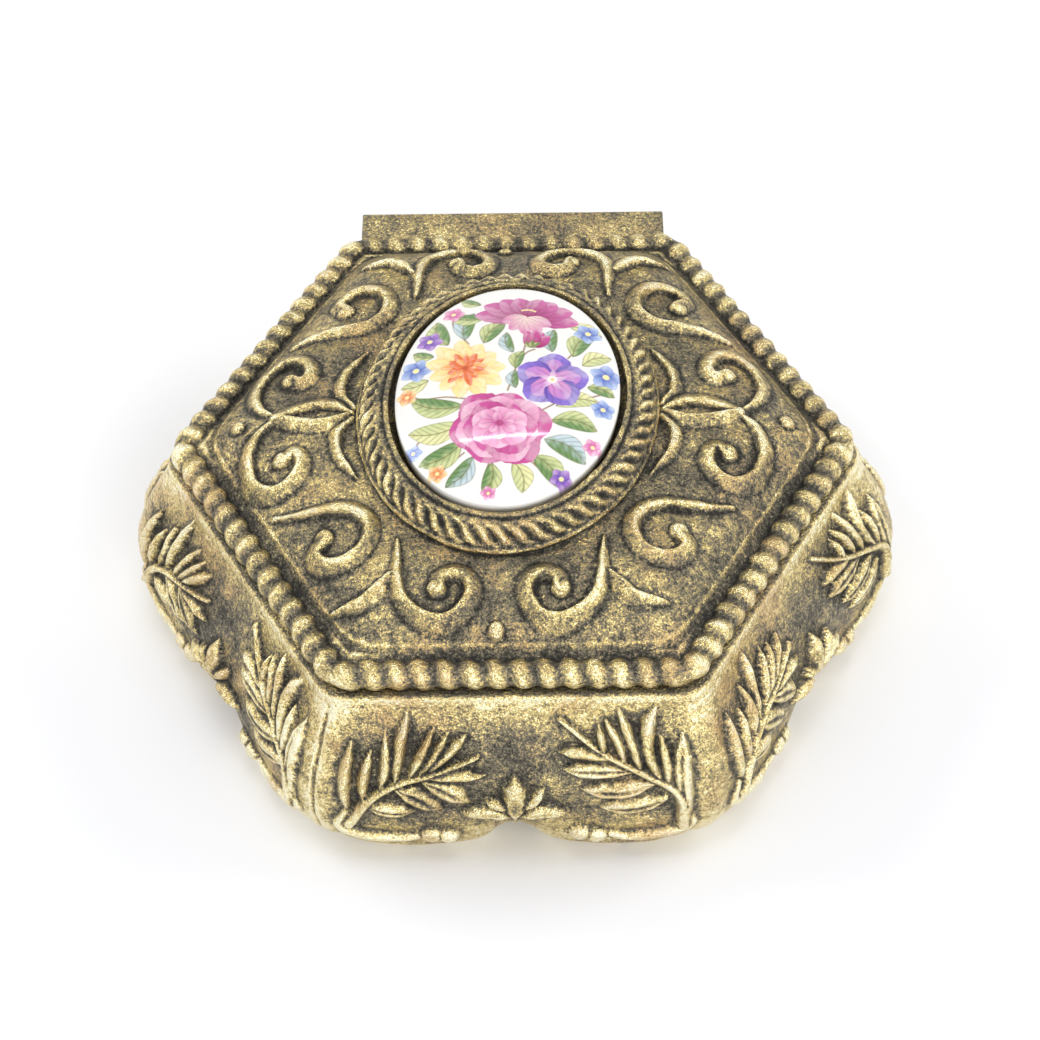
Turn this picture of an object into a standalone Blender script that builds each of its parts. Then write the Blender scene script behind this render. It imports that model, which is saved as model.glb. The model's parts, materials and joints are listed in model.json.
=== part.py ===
"""Hexagonal trinket box: cast base, domed cast lid on a pinned hinge, porcelain oval and velvet linings.

Units are metres, +Z is up, the front looks towards -Y, and the origin is the middle of the underside.
A flat is the distance from the middle of a hexagon to one of its sides.
"""
import math

import bmesh
import bpy
from mathutils import Vector

# Plan of the box at its seam
SIDES = 6
LID_FLAT = 0.04115
LID_CORNER = 0.0046
SEAM_HEIGHT = 0.0280
SEAM_GAP = 0.0003
SEAT_GAP = 0.0003
RIM_STEP = 0.0003

# Rope border round the lid
ROPE_WIDTH = 0.0044
ROPE_RADIUS = 0.0020
ROPE_CENTRE = 0.0014
ROPE_ROWS = (-8, 42, 92, 142)
STRANDS_PER_SIDE = 14
STRAND_DEPTH = 0.0006

# Domed field of the lid
GROOVE_HEIGHT = 0.0028
FIELD_RISE = 0.0061
FIELD_RUN = 0.0055
FIELD_PARTS = (0.0, 0.12, 0.28, 0.5, 0.75, 1.0)
LID_SHELL = 0.0022
LID_RIM_WIDTH = 0.0042
UNDERSIDE_RUN = 0.0200
UNDERSIDE_PARTS = (1.0, 0.575, 0.325, 0.165, 0.07, 0.02)

# Raised oval bezel and the porcelain in it
OVAL_HALF_WIDTH = 0.0150
OVAL_HALF_LENGTH = 0.0200
OVAL_TILT = math.radians(-5.9)
OVAL_SHIFT = -0.0005
OVAL_START = 0.65
BEZEL_HEIGHT = 0.0121
POCKET_DEPTH = 0.0023
POCKET_GAP = 0.0009
BEZEL_RIM = 0.0008
RING_ROPE_RADIUS = 0.0017
RING_ROPE_ROWS = (-5, 60, 125)
RING_STRANDS = 56
PORCELAIN_CROWN = 0.0024
PORCELAIN_FOOT = 0.0004
PORCELAIN_SIDES = 48
PORCELAIN_PARTS = (1.0, 0.97, 0.90, 0.78, 0.60, 0.36, 0.12)

# Raised scrolls of the lid, drawn in millimetres for the front right quarter of a lid of this flat
SCROLL_FLAT = 41.15
SCROLL_RADIUS = 0.0011
SCROLL_LIFT = 0.0001
SCROLL_SHIFT = -0.0007
SCROLL_SKEW = 0.033
SCROLL_BALL = 0.0013
BALL_DETAIL = 1
FRONT_SCROLL = [(13.5, -22.4), (13.4, -25.2), (13.5, -27.7), (12.9, -30.5), (11.2, -32.7), (8.5, -34.0),
                (5.8, -33.7), (4.0, -32.0), (3.3, -30.0), (4.0, -28.2), (5.8, -27.4), (7.6, -28.2),
                (8.0, -29.8)]
FRONT_LEAF = [(14.2, -28.0), (15.7, -30.0), (17.9, -31.3), (21.7, -31.2)]
CORNER_SCROLL = [(30.3, -15.3), (27.3, -16.0), (24.2, -16.1), (21.0, -16.2), (18.7, -17.2), (17.2, -19.0),
                 (17.0, -21.5), (18.3, -24.0), (20.8, -25.1), (23.2, -24.5), (24.5, -22.5), (23.2, -20.6)]
SIDE_SCROLL = [(31.6, -0.4), (33.5, -2.0), (34.7, -4.5), (34.8, -7.0), (33.6, -10.2), (31.0, -12.0),
               (28.6, -11.5), (27.1, -9.5), (27.0, -7.5), (28.2, -6.2), (29.8, -7.2)]
SIDE_CRESCENT = [(20.8, -1.0), (22.6, -3.2), (22.8, -5.5), (22.1, -7.9), (20.7, -9.9), (19.5, -11.5)]
SIDE_ALMOND = [(20.8, 0.0), (23.3, -1.7), (26.0, -2.0), (28.7, -1.4), (31.3, -0.2)]
DOTS = [(37.2, 0.0), (-37.2, 0.0), (-2.0, -34.8), (-1.0, 34.5)]

# Swelling wall of the base
LEDGE_HEIGHT = 0.0009
LEDGE_STEP = 0.0004
BULGE = 0.0052
BULGE_HEIGHT = 0.0110
BULGE_EASE = 1.4
CURL = 0.0055
LOBE = 0.0024
LOBE_FADE = 1.2
BASE_WALL = 0.0028
RIM_WIDTH = 0.0032
RIM_DEPTH = 0.0030
FOOT_RING = 0.0030
RECESS_HEIGHT = 0.0036
FLOOR_THICKNESS = 0.0016
NOTCH_HALF = 0.0048
NOTCH_HEIGHT = 0.0030

# Leaf sprays, bud and balls on each side of the base, in millimetres from the middle of a side and up from the
# ground, drawn for a lid of SCROLL_FLAT with its seam at SPRAY_SEAM. A blade is its points from root to tip,
# then its half width at the root and at the tip.
SPRAY_SEAM = 28.0
SPRAY_SHIFT = -1.4
BLADE_RISE = 0.0011
BLADE_DEPTH = 0.0008
BLADE_SINK = 0.0003
FACE_BALL = 0.0016
FACE_BALL_SINK = 0.0004
FACE_BALLS = [(-8.0, 5.4), (10.3, 5.4)]
LEFT_SPRAY = [
    ([(-19.0, 8.5), (-16.3, 13.4), (-10.0, 16.8), (-3.3, 19.4)], 1.0, 0.5),
    ([(-19.2, 11.5), (-19.8, 16.5), (-19.7, 21.8)], 0.9, 0.35),
    ([(-15.2, 15.0), (-14.7, 18.4), (-15.5, 22.6)], 0.9, 0.35),
    ([(-13.4, 16.0), (-13.4, 20.9), (-12.9, 25.5)], 0.9, 0.35),
    ([(-11.6, 16.8), (-10.4, 19.8), (-9.2, 23.4)], 0.9, 0.4),
    ([(-9.4, 17.4), (-7.0, 20.0), (-4.8, 22.4)], 1.0, 0.5),
    ([(-9.4, 16.6), (-6.0, 16.9), (-2.4, 16.6)], 0.9, 0.5),
    ([(-9.6, 15.8), (-7.0, 14.6), (-4.2, 12.4)], 1.3, 0.6),
]
RIGHT_SPRAY = [
    ([(22.2, 7.5), (21.6, 13.8), (15.0, 18.4), (7.7, 24.3)], 1.1, 0.5),
    ([(22.6, 8.0), (22.2, 15.0), (23.6, 22.2)], 1.3, 0.6),
    ([(18.4, 16.2), (18.3, 20.6), (20.8, 26.0)], 1.0, 0.4),
    ([(16.4, 17.6), (16.8, 21.0), (15.6, 26.0)], 0.9, 0.4),
    ([(14.0, 19.0), (10.4, 19.9), (7.1, 20.0)], 0.9, 0.5),
    ([(16.0, 17.2), (11.6, 17.5), (7.6, 17.5)], 1.2, 0.8),
    ([(18.4, 15.2), (14.2, 14.2), (9.8, 14.4)], 1.3, 0.8),
]
BUD = [
    ([(1.4, 9.0), (1.4, 12.8), (1.4, 16.4)], 1.4, 0.3),
    ([(0.6, 9.6), (-1.4, 10.8), (-4.4, 10.4)], 0.9, 0.4),
    ([(2.2, 9.6), (4.2, 10.8), (7.2, 10.4)], 0.9, 0.4),
]
HINGE_LEAF_GAP = 0.0023

# Hinge at the back
HINGE_OUT = 0.00275
HINGE_DROP = 0.0013
KNUCKLE_RADIUS = 0.0018
PIN_RADIUS = 0.0008
PIN_CLEARANCE = 0.00025
PIN_END = 0.0004
HINGE_HALF_LENGTH = 0.0205
END_LUG = 0.0065
MIDDLE_LUG = 0.0080
KNUCKLE_GAP = 0.0003
BAR_END = 0.0010
BAR_REAR = 0.0001
BAR_ROOT = 0.0012
BAR_THICKNESS = 0.0018
BAR_ROUND = 0.0007
LID_OPEN = math.radians(100)
LUG_FACE = 0.0020
LUG_REACH = 0.0065

# Linings
LINING_THICKNESS = 0.0012
LINING_BELOW_RIM = 0.0010
LINING_CORNER = 0.0015
CARD_THICKNESS = 0.0010
VELVET_THICKNESS = 0.0013
VELVET_CROWN = 0.0006
VELVET_ROUND = 0.0005

QUARTER_TURN = math.pi / 2
CORNER_TURN = 2 * math.pi / SIDES
HALF_CORNER = CORNER_TURN / 2
HINGE_SIDE = SIDES // 2
RIM_HEIGHT = SEAM_HEIGHT - SEAM_GAP
BASE_FLAT = LID_FLAT + RIM_STEP
BASE_CORNER = LID_CORNER + RIM_STEP
FLOOR_HEIGHT = RECESS_HEIGHT + FLOOR_THICKNESS
RING_ROPE_MIDDLE = POCKET_GAP + BEZEL_RIM + RING_ROPE_RADIUS
BEZEL_FOOT = RING_ROPE_MIDDLE + RING_ROPE_RADIUS
BEZEL_TOP = SEAM_HEIGHT + BEZEL_HEIGHT
POCKET_FLOOR = BEZEL_TOP - POCKET_DEPTH
LINING_FLAT = BASE_FLAT - RIM_WIDTH - SEAT_GAP
PIN_Y = LID_FLAT + HINGE_OUT
PIN_Z = SEAM_HEIGHT - HINGE_DROP
HINGE_LEAF_TOP = PIN_Z - KNUCKLE_RADIUS - HINGE_LEAF_GAP
BAR_UNDER = PIN_Z + KNUCKLE_RADIUS + SEAT_GAP
BAR_TOP = BAR_UNDER + BAR_THICKNESS


def clear_scene():
    for thing in list(bpy.data.objects):
        bpy.data.objects.remove(thing, do_unlink=True)


def material(name, color, metallic, roughness):
    made = bpy.data.materials.new(name)
    made.use_nodes = True
    shader = made.node_tree.nodes["Principled BSDF"]
    shader.inputs["Base Color"].default_value = (*color, 1.0)
    shader.inputs["Metallic"].default_value = metallic
    shader.inputs["Roughness"].default_value = roughness
    return made


def mesh_from(name, bm):
    """Turn a bmesh into a mesh with outward faces."""
    bmesh.ops.recalc_face_normals(bm, faces=bm.faces)
    mesh = bpy.data.meshes.new(name)
    bm.to_mesh(mesh)
    bm.free()
    return mesh


def solid(name, bm, finish):
    """Turn a bmesh into a named piece, shaded smooth between gentle edges."""
    mesh = mesh_from(name, bm)
    mesh.shade_smooth()
    mesh.set_sharp_from_angle(angle=math.radians(40))
    mesh.materials.append(finish)
    piece = bpy.data.objects.new(name, mesh)
    bpy.context.scene.collection.objects.link(piece)
    return piece


# Outlines: a column is its side's normal angle, its share of the half side, and its turn round the corner

def side_normals():
    return [side * CORNER_TURN - QUARTER_TURN for side in range(SIDES)]


def half_side(flat, corner):
    return (flat - corner) * math.tan(HALF_CORNER)


def even_columns(count, flat, corner):
    """Columns at even distances along a hexagon's outline, count to a side, from the middle of a corner."""
    half = half_side(flat, corner)
    reach = half + corner * HALF_CORNER
    columns = []
    for normal in side_normals():
        for step in range(count):
            run = 2 * reach * step / count - reach
            share = max(-1.0, min(1.0, run / half))
            columns.append((normal, share, (run - share * half) / corner))
    return columns


def rope_columns(count):
    return even_columns(count, LID_FLAT - ROPE_WIDTH / 2, LID_CORNER - ROPE_WIDTH / 2)


def wall_columns(flat_steps=4, arc_steps=4):
    """Columns of the base: close together at the notch in the middle of a side, then even to the arcs."""
    notch = NOTCH_HALF / half_side(BASE_FLAT, BASE_CORNER)
    outer = [notch + (1 - notch) * step / flat_steps for step in range(flat_steps + 1)]
    shares = [-share for share in reversed(outer)] + [-notch / 2, 0.0, notch / 2] + outer
    columns = []
    for normal in side_normals():
        columns += [(normal, share, 0.0) for share in shares]
        columns += [(normal, 1.0, CORNER_TURN * step / arc_steps) for step in range(1, arc_steps)]
    return columns


def outline_point(column, flat, corner, height):
    normal, share, turn = column
    across = Vector((math.cos(normal), math.sin(normal), 0))
    along = Vector((-across.y, across.x, 0))
    outward = Vector((math.cos(normal + turn), math.sin(normal + turn), 0))
    point = across * (flat - corner) + along * half_side(flat, corner) * share + outward * corner
    point.z = height
    return point


def outline_ring(columns, flat, corner, height):
    return [outline_point(column, flat, max(corner, 0.0), height) for column in columns]


def lid_ring(columns, inset, height):
    """A ring parallel to the lid's outline, drawn in by inset, at a height above the seam."""
    return outline_ring(columns, LID_FLAT - inset, LID_CORNER - inset, SEAM_HEIGHT + height)


def base_ring(columns, outset, height):
    return outline_ring(columns, BASE_FLAT + outset, BASE_CORNER + outset, height)


def wall_ring(columns, height, inset=0.0):
    """A ring of the outer wall, whose corners stay tight where it swells, with a lobed and notched foot."""
    points = []
    for column in columns:
        flat = BASE_FLAT + wall_offset(height) + foot_lobe(column, height) - inset
        points.append(outline_point(column, flat, BASE_CORNER, height + notch_lift(column, height)))
    return points


def oval_point(share, offset, height):
    """A point on the oval's outline grown by offset, share of the way round from +X."""
    turn = 2 * math.pi * share
    x = (OVAL_HALF_WIDTH + offset) * math.cos(turn)
    y = (OVAL_HALF_LENGTH + offset) * math.sin(turn)
    return Vector((x * math.cos(OVAL_TILT) - y * math.sin(OVAL_TILT) + OVAL_SHIFT,
                   x * math.sin(OVAL_TILT) + y * math.cos(OVAL_TILT), height))


def oval_shares(count, fine=720):
    """Shares round the oval at even distances along the bezel's foot."""
    points = [oval_point(OVAL_START + step / fine, BEZEL_FOOT, 0) for step in range(fine + 1)]
    reach = [0.0]
    for before, after in zip(points, points[1:]):
        reach.append(reach[-1] + (after - before).length)
    shares = []
    step = 0
    for number in range(count):
        wanted = reach[-1] * number / count
        while reach[step + 1] < wanted:
            step += 1
        part = (wanted - reach[step]) / (reach[step + 1] - reach[step])
        shares.append(OVAL_START + (step + part) / fine)
    return shares


# Rings of vertices, and the faces between them

def join_rings(bm, first, second):
    """Faces between two rings, with triangles where one of them has more vertices than the other."""
    if len(first) < len(second):
        first, second = second, first
    many, few = len(first), len(second)
    for index in range(many):
        near = (index * few + many // 2) // many
        far = ((index + 1) * few + many // 2) // many
        edge = [first[index], first[(index + 1) % many]]
        bm.faces.new(edge + [second[far % few]] + ([second[near % few]] if far > near else []))


def add_stack(bm, rings, closed=False):
    """Faces along a stack of rings, which either meets itself or is capped at both ends."""
    added = [[bm.verts.new(point) for point in points] for points in rings]
    for first, second in zip(added, added[1:]):
        join_rings(bm, first, second)
    if closed:
        join_rings(bm, added[-1], added[0])
    else:
        bm.faces.new(added[0])
        bm.faces.new(added[-1])


def smooth_path(points, steps):
    """Catmull-Rom curve through the points, with a number of steps between each two."""
    ends = [2 * points[0] - points[1]] + points + [2 * points[-1] - points[-2]]
    path = []
    for before, start, stop, after in zip(ends, ends[1:], ends[2:], ends[3:]):
        for step in range(steps):
            t = step / steps
            path.append(0.5 * (2 * start + (stop - before) * t
                               + (2 * before - 5 * start + 4 * stop - after) * t * t
                               + (3 * start - before - 3 * stop + after) * t ** 3))
    return path + [points[-1]]


# Helpers that a Boolean reads, kept in groups and left out of the finished part

def guide_group(name):
    group = bpy.data.collections.new(name)
    bpy.context.scene.collection.children.link(group)
    return group


def add_guide(name, mesh, group):
    guide = bpy.data.objects.new(name, mesh)
    guide.hide_render = True
    guide.display_type = "WIRE"
    group.objects.link(guide)


def boolean(target, operation, group):
    step = target.modifiers.new(group.name, "BOOLEAN")
    step.operation = operation
    step.solver = "EXACT"
    step.operand_type = "COLLECTION"
    step.collection = group


def relief_tube(name, path, radii, group):
    """A tapered tube along a path, for raised ornament that is one with the casting."""
    curve = bpy.data.curves.new(name, "CURVE")
    curve.dimensions = "3D"
    curve.bevel_depth = 1.0
    curve.bevel_resolution = 1
    curve.use_fill_caps = True
    spline = curve.splines.new("POLY")
    spline.points.add(len(path) - 1)
    for place, point, radius in zip(spline.points, path, radii):
        place.co = (*point, 1.0)
        place.radius = radius
    holder = bpy.data.objects.new(name, curve)
    bpy.context.scene.collection.objects.link(holder)
    seen = bpy.context.evaluated_depsgraph_get()
    mesh = bpy.data.meshes.new_from_object(holder.evaluated_get(seen))
    bpy.data.objects.remove(holder, do_unlink=True)
    add_guide(name, mesh, group)


def relief_ball(name, centre, radius, group):
    bm = bmesh.new()
    bmesh.ops.create_icosphere(bm, subdivisions=BALL_DETAIL, radius=radius)
    bmesh.ops.translate(bm, verts=bm.verts, vec=centre)
    add_guide(name, mesh_from(name, bm), group)


def prism(name, outline, start, stop, group):
    """A bar along X between two places, from an outline of (y, z) pairs."""
    bm = bmesh.new()
    face = bm.faces.new([bm.verts.new((start, y, z)) for y, z in outline])
    grown = bmesh.ops.extrude_face_region(bm, geom=[face])["geom"]
    moved = [item for item in grown if isinstance(item, bmesh.types.BMVert)]
    bmesh.ops.translate(bm, verts=moved, vec=(stop - start, 0, 0))
    add_guide(name, mesh_from(name, bm), group)


# Hinge

def arc_points(centre, radius, start, stop, steps):
    """Points (y, z) on an arc between two angles."""
    turns = [start + (stop - start) * step / steps for step in range(steps + 1)]
    return [(centre[0] + radius * math.cos(turn), centre[1] + radius * math.sin(turn)) for turn in turns]


def lug_outline():
    """Base lug: round over the pin, with a rear face that the open lid's bar comes to rest against."""
    lean = LID_OPEN - QUARTER_TURN
    arc = arc_points((PIN_Y, PIN_Z), KNUCKLE_RADIUS, math.radians(145), -lean, 10)
    heel = (arc[-1][0] - LUG_FACE * math.sin(lean), arc[-1][1] - LUG_FACE * math.cos(lean))
    inside = BASE_FLAT - RIM_WIDTH / 2
    return [(inside, PIN_Z + KNUCKLE_RADIUS / 2)] + arc + [heel, (inside, PIN_Z - LUG_REACH)]


def knuckle_outline():
    """Lid knuckle: round under the pin, with a neck up into the hinge bar."""
    arc = arc_points((PIN_Y, PIN_Z), KNUCKLE_RADIUS, -2 * QUARTER_TURN, 0, 12)
    neck = (BAR_UNDER + BAR_TOP) / 2
    return [(arc[0][0], neck)] + arc + [(arc[-1][0], neck)]


def bar_outline():
    """Hinge bar along the lid's back edge, rounded over its rear."""
    rear = PIN_Y + KNUCKLE_RADIUS + BAR_REAR
    front = LID_FLAT - BAR_ROOT
    rounded = arc_points((rear - BAR_ROUND, BAR_TOP - BAR_ROUND), BAR_ROUND, 0, QUARTER_TURN, 3)
    return [(front, BAR_UNDER), (rear, BAR_UNDER)] + rounded + [(front, BAR_TOP)]


def cut_pin_bore(target):
    group = guide_group(target.name + "_bore")
    outline = arc_points((PIN_Y, PIN_Z), PIN_RADIUS + PIN_CLEARANCE, 0, 4 * QUARTER_TURN, 16)[:-1]
    prism(target.name + "_bore", outline, -2 * HINGE_HALF_LENGTH, 2 * HINGE_HALF_LENGTH, group)
    boolean(target, "DIFFERENCE", group)


def hinge_pin(finish):
    """Pin along the hinge axis, with chamfered ends."""
    half = HINGE_HALF_LENGTH + PIN_END
    chamfer = PIN_END / 2
    rings = []
    for x, radius in ((-half, PIN_RADIUS - chamfer), (chamfer - half, PIN_RADIUS),
                      (half - chamfer, PIN_RADIUS), (half, PIN_RADIUS - chamfer)):
        turns = arc_points((0, 0), radius, 0, 4 * QUARTER_TURN, 16)[:-1]
        rings.append([Vector((x, y, z)) for y, z in turns])
    bm = bmesh.new()
    add_stack(bm, rings)
    pin = solid("hinge_pin", bm, finish)
    pin.location = (0, PIN_Y, PIN_Z)
    return pin


# Lid

def flat_distance(x, y):
    """The flat of a hexagon that passes through the point."""
    return max(x * math.cos(normal) + y * math.sin(normal) for normal in side_normals())


def dome(inset):
    """Height of the domed field above the seam, steep beside the border and nearly level at the oval."""
    return GROOVE_HEIGHT + FIELD_RISE * (1 - math.exp(-max(inset - ROPE_WIDTH, 0.0) / FIELD_RUN))


def inset_under(height):
    """How far in from the lid's edge its underside reaches a height above the seam."""
    return ROPE_WIDTH - FIELD_RUN * math.log(1 - (height - GROOVE_HEIGHT + LID_SHELL) / FIELD_RISE)


def on_field(x, y):
    return Vector((x, y, SEAM_HEIGHT + dome(LID_FLAT - flat_distance(x, y))))


def rope_ring(columns, row, angle):
    """One row of the border's rope, whose strands lean by one column for each row."""
    points = []
    for index, column in enumerate(columns):
        radius = ROPE_RADIUS - STRAND_DEPTH * ((index + row) % 3) / 2
        inset = ROPE_WIDTH / 2 - radius * math.cos(angle)
        corner = max(LID_CORNER - inset, 0.0)
        height = SEAM_HEIGHT + ROPE_CENTRE + radius * math.sin(angle)
        points.append(outline_point(column, LID_FLAT - inset, corner, height))
    return points


def bezel_rope_ring(shares, row, angle):
    """One row of the rope round the oval bezel."""
    points = []
    for index, share in enumerate(shares):
        radius = RING_ROPE_RADIUS - STRAND_DEPTH * ((index + row) % 3) / 2
        height = BEZEL_TOP - RING_ROPE_RADIUS + radius * math.sin(angle)
        points.append(oval_point(share, RING_ROPE_MIDDLE + radius * math.cos(angle), height))
    return points


def lid_shell_rings():
    """Rings from the lid's ceiling to its lower edge, over the border, up the field and into the pocket."""
    inside = rope_columns(STRANDS_PER_SIDE // 2)
    outside = rope_columns(STRANDS_PER_SIDE)
    strands = rope_columns(3 * STRANDS_PER_SIDE)
    rings = []
    for part in UNDERSIDE_PARTS:
        inset = LID_RIM_WIDTH + UNDERSIDE_RUN * part
        rings.append(lid_ring(inside, inset, dome(inset) - LID_SHELL))
    rings.append(lid_ring(inside, LID_RIM_WIDTH, 0))
    rings.append(lid_ring(outside, ROPE_WIDTH / 2 - ROPE_RADIUS, 0))
    for row, degrees in enumerate(ROPE_ROWS):
        rings.append(rope_ring(strands, row, math.radians(degrees)))
    border = lid_ring(inside, ROPE_WIDTH, 0)
    shares = oval_shares(len(border))
    foot = [oval_point(share, BEZEL_FOOT, 0) for share in shares]
    for part in FIELD_PARTS:
        blend = [outer.lerp(inner, part) for outer, inner in zip(border, foot)]
        rings.append([on_field(point.x, point.y) for point in blend])
    strands = oval_shares(3 * RING_STRANDS)
    for row, degrees in enumerate(RING_ROPE_ROWS):
        rings.append(bezel_rope_ring(strands, row, math.radians(degrees)))
    shares = oval_shares(3 * RING_STRANDS // 2)
    rings.append([oval_point(share, POCKET_GAP + BEZEL_RIM, BEZEL_TOP) for share in shares])
    for height in (BEZEL_TOP, POCKET_FLOOR):
        rings.append([oval_point(share, POCKET_GAP, height) for share in shares])
    return rings


def scroll_points(drawn, across, along):
    """Places on the field for points drawn in millimetres, mirrored by the signs across and along."""
    unit = LID_FLAT / SCROLL_FLAT
    places = []
    for x, y in drawn:
        y *= along * unit
        places.append(on_field(x * across * unit + SCROLL_SHIFT + SCROLL_SKEW * y, y))
    return places


def add_scroll(name, drawn, across, along, group, slim=1.0, ball=True):
    """One raised scroll, which may slim down towards its end or carry a ball there."""
    path = smooth_path(scroll_points(drawn, across, along), 2 if ball else 1)
    lifted = [point + Vector((0, 0, SCROLL_LIFT)) for point in path]
    last = len(path) - 1
    radii = [SCROLL_RADIUS * (1 - (1 - slim) * step / last) for step in range(last + 1)]
    radii[0] *= 0.6
    radii[-1] *= 0.6
    relief_tube(name, lifted, radii, group)
    if ball:
        relief_ball(name + "_ball", path[-1], SCROLL_BALL, group)


def add_lid_relief(group):
    for across in (1, -1):
        for along in (1, -1):
            place = ("right" if across > 0 else "left") + ("_front" if along > 0 else "_back")
            add_scroll("front_scroll_" + place, FRONT_SCROLL, across, along, group)
            add_scroll("corner_scroll_" + place, CORNER_SCROLL, across, along, group)
            add_scroll("side_scroll_" + place, SIDE_SCROLL, across, along, group)
            add_scroll("front_leaf_" + place, FRONT_LEAF, across, along, group, slim=0.4, ball=False)
            add_scroll("side_crescent_" + place, SIDE_CRESCENT, across, along, group, ball=False)
            add_scroll("side_almond_" + place, SIDE_ALMOND, across, along, group, slim=0.9, ball=False)
    unit = LID_FLAT / SCROLL_FLAT
    for number, (x, y) in enumerate(DOTS):
        relief_ball("dot_%d" % number, on_field(x * unit, y * unit), SCROLL_BALL, group)


def lid_casting(finish):
    bm = bmesh.new()
    add_stack(bm, lid_shell_rings())
    lid = solid("lid_casting", bm, finish)
    relief = guide_group("lid_relief")
    add_lid_relief(relief)
    half = HINGE_HALF_LENGTH + PIN_END + BAR_END
    prism("hinge_bar", bar_outline(), -half, half, relief)
    near = MIDDLE_LUG / 2 + KNUCKLE_GAP
    far = HINGE_HALF_LENGTH - END_LUG - KNUCKLE_GAP
    prism("knuckle_right", knuckle_outline(), near, far, relief)
    prism("knuckle_left", knuckle_outline(), -far, -near, relief)
    boolean(lid, "UNION", relief)
    cut_pin_bore(lid)
    return lid


def porcelain_cabochon(finish):
    """Oval porcelain piece: a slim foot, a straight girdle and a low dome."""
    shares = oval_shares(PORCELAIN_SIDES)
    rings = [[oval_point(share, -PORCELAIN_FOOT, POCKET_FLOOR + SEAT_GAP) for share in shares],
             [oval_point(share, 0, POCKET_FLOOR + SEAT_GAP + PORCELAIN_FOOT) for share in shares]]
    for part in PORCELAIN_PARTS:
        height = BEZEL_TOP + PORCELAIN_CROWN * (1 - part ** 2) ** 0.7
        ring = []
        for share in shares:
            edge = oval_point(share, 0, height)
            ring.append(Vector((OVAL_SHIFT + (edge.x - OVAL_SHIFT) * part, edge.y * part, height)))
        rings.append(ring)
    bm = bmesh.new()
    add_stack(bm, rings)
    return solid("porcelain_cabochon", bm, finish)


# Base

def wall_offset(height):
    """How far the base's wall stands out past its rim at a height, above and below its widest place."""
    if height < BULGE_HEIGHT:
        return BULGE - CURL * (1 - math.sqrt(1 - (1 - height / BULGE_HEIGHT) ** 2))
    rise = min(1.0, (RIM_HEIGHT - height) / (RIM_HEIGHT - BULGE_HEIGHT))
    return BULGE * math.sin(QUARTER_TURN * rise) ** BULGE_EASE


def foot_lobe(column, height):
    """How far the foot swells out further, between each notch and the corners beside it."""
    half = half_side(BASE_FLAT, BASE_CORNER)
    inner = NOTCH_HALF / 2
    share = max(0.0, (abs(column[1]) * half - inner) / (half - inner))
    fade = max(0.0, 1 - height / BULGE_HEIGHT)
    return LOBE * math.sin(2 * QUARTER_TURN * share) ** 0.6 * fade ** LOBE_FADE if 0 < share < 1 else 0.0


def notch_lift(column, height):
    """How far the low parts of the wall rise over the notch in the middle of each side's foot."""
    reach = min(1.0, abs(column[1]) * half_side(BASE_FLAT, BASE_CORNER) / NOTCH_HALF)
    fade = max(0.0, 1 - height / BULGE_HEIGHT)
    return NOTCH_HEIGHT * math.cos(QUARTER_TURN * reach) ** 2 * fade


def base_shell_rings(upper_rows=6, lower_rows=6, inner_rows=4):
    """Rings from the floor up the inside, over the rim, down the swelling wall and in under the foot."""
    columns = wall_columns()
    lip = RIM_HEIGHT - RIM_DEPTH
    shoulder = lip - RIM_WIDTH / 2
    rings = []
    for step in range(inner_rows + 1):
        height = FLOOR_HEIGHT + (shoulder - FLOOR_HEIGHT) * step / inner_rows
        rings.append(base_ring(columns, wall_offset(height) - BASE_WALL, height))
    rings.append(base_ring(columns, -RIM_WIDTH, lip))
    rings.append(base_ring(columns, -RIM_WIDTH, RIM_HEIGHT))
    rings.append(base_ring(columns, 0, RIM_HEIGHT))
    ledge = RIM_HEIGHT - LEDGE_HEIGHT
    rings.append(base_ring(columns, 0, ledge))
    rings.append(base_ring(columns, -LEDGE_STEP, ledge - LEDGE_STEP))
    for step in range(1, upper_rows + 1):
        height = ledge + (BULGE_HEIGHT - ledge) * step / upper_rows
        rings.append(wall_ring(columns, height))
    for step in range(1, lower_rows + 1):
        rings.append(wall_ring(columns, BULGE_HEIGHT * (1 - math.sin(QUARTER_TURN * step / lower_rows))))
    rings.append(wall_ring(columns, 0, FOOT_RING))
    recess = BASE_FLAT + wall_offset(0) - FOOT_RING
    rings.append(outline_ring(columns, recess, BASE_CORNER, RECESS_HEIGHT))
    return rings


def on_wall(side, along, height):
    """A place on one side of the outer wall, or past its end on the arc of the corner."""
    flat = BASE_FLAT + wall_offset(height)
    half = half_side(flat, BASE_CORNER)
    share = max(-1.0, min(1.0, along / half))
    column = (side_normals()[side], share, (along - share * half) / BASE_CORNER)
    return outline_point(column, flat + foot_lobe(column, height), BASE_CORNER, height)


def wall_frame(side, x, z, nudge=0.0001):
    """The place on a side's wall for a point drawn in millimetres, and the way straight out of the wall."""
    along = (x + SPRAY_SHIFT) * LID_FLAT / SCROLL_FLAT
    height = z * SEAM_HEIGHT / SPRAY_SEAM
    if side == HINGE_SIDE:
        height = min(height, HINGE_LEAF_TOP)
    level = on_wall(side, along + nudge, height) - on_wall(side, along - nudge, height)
    upward = on_wall(side, along, height + nudge) - on_wall(side, along, height - nudge)
    return on_wall(side, along, height), level.cross(upward).normalized()


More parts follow.
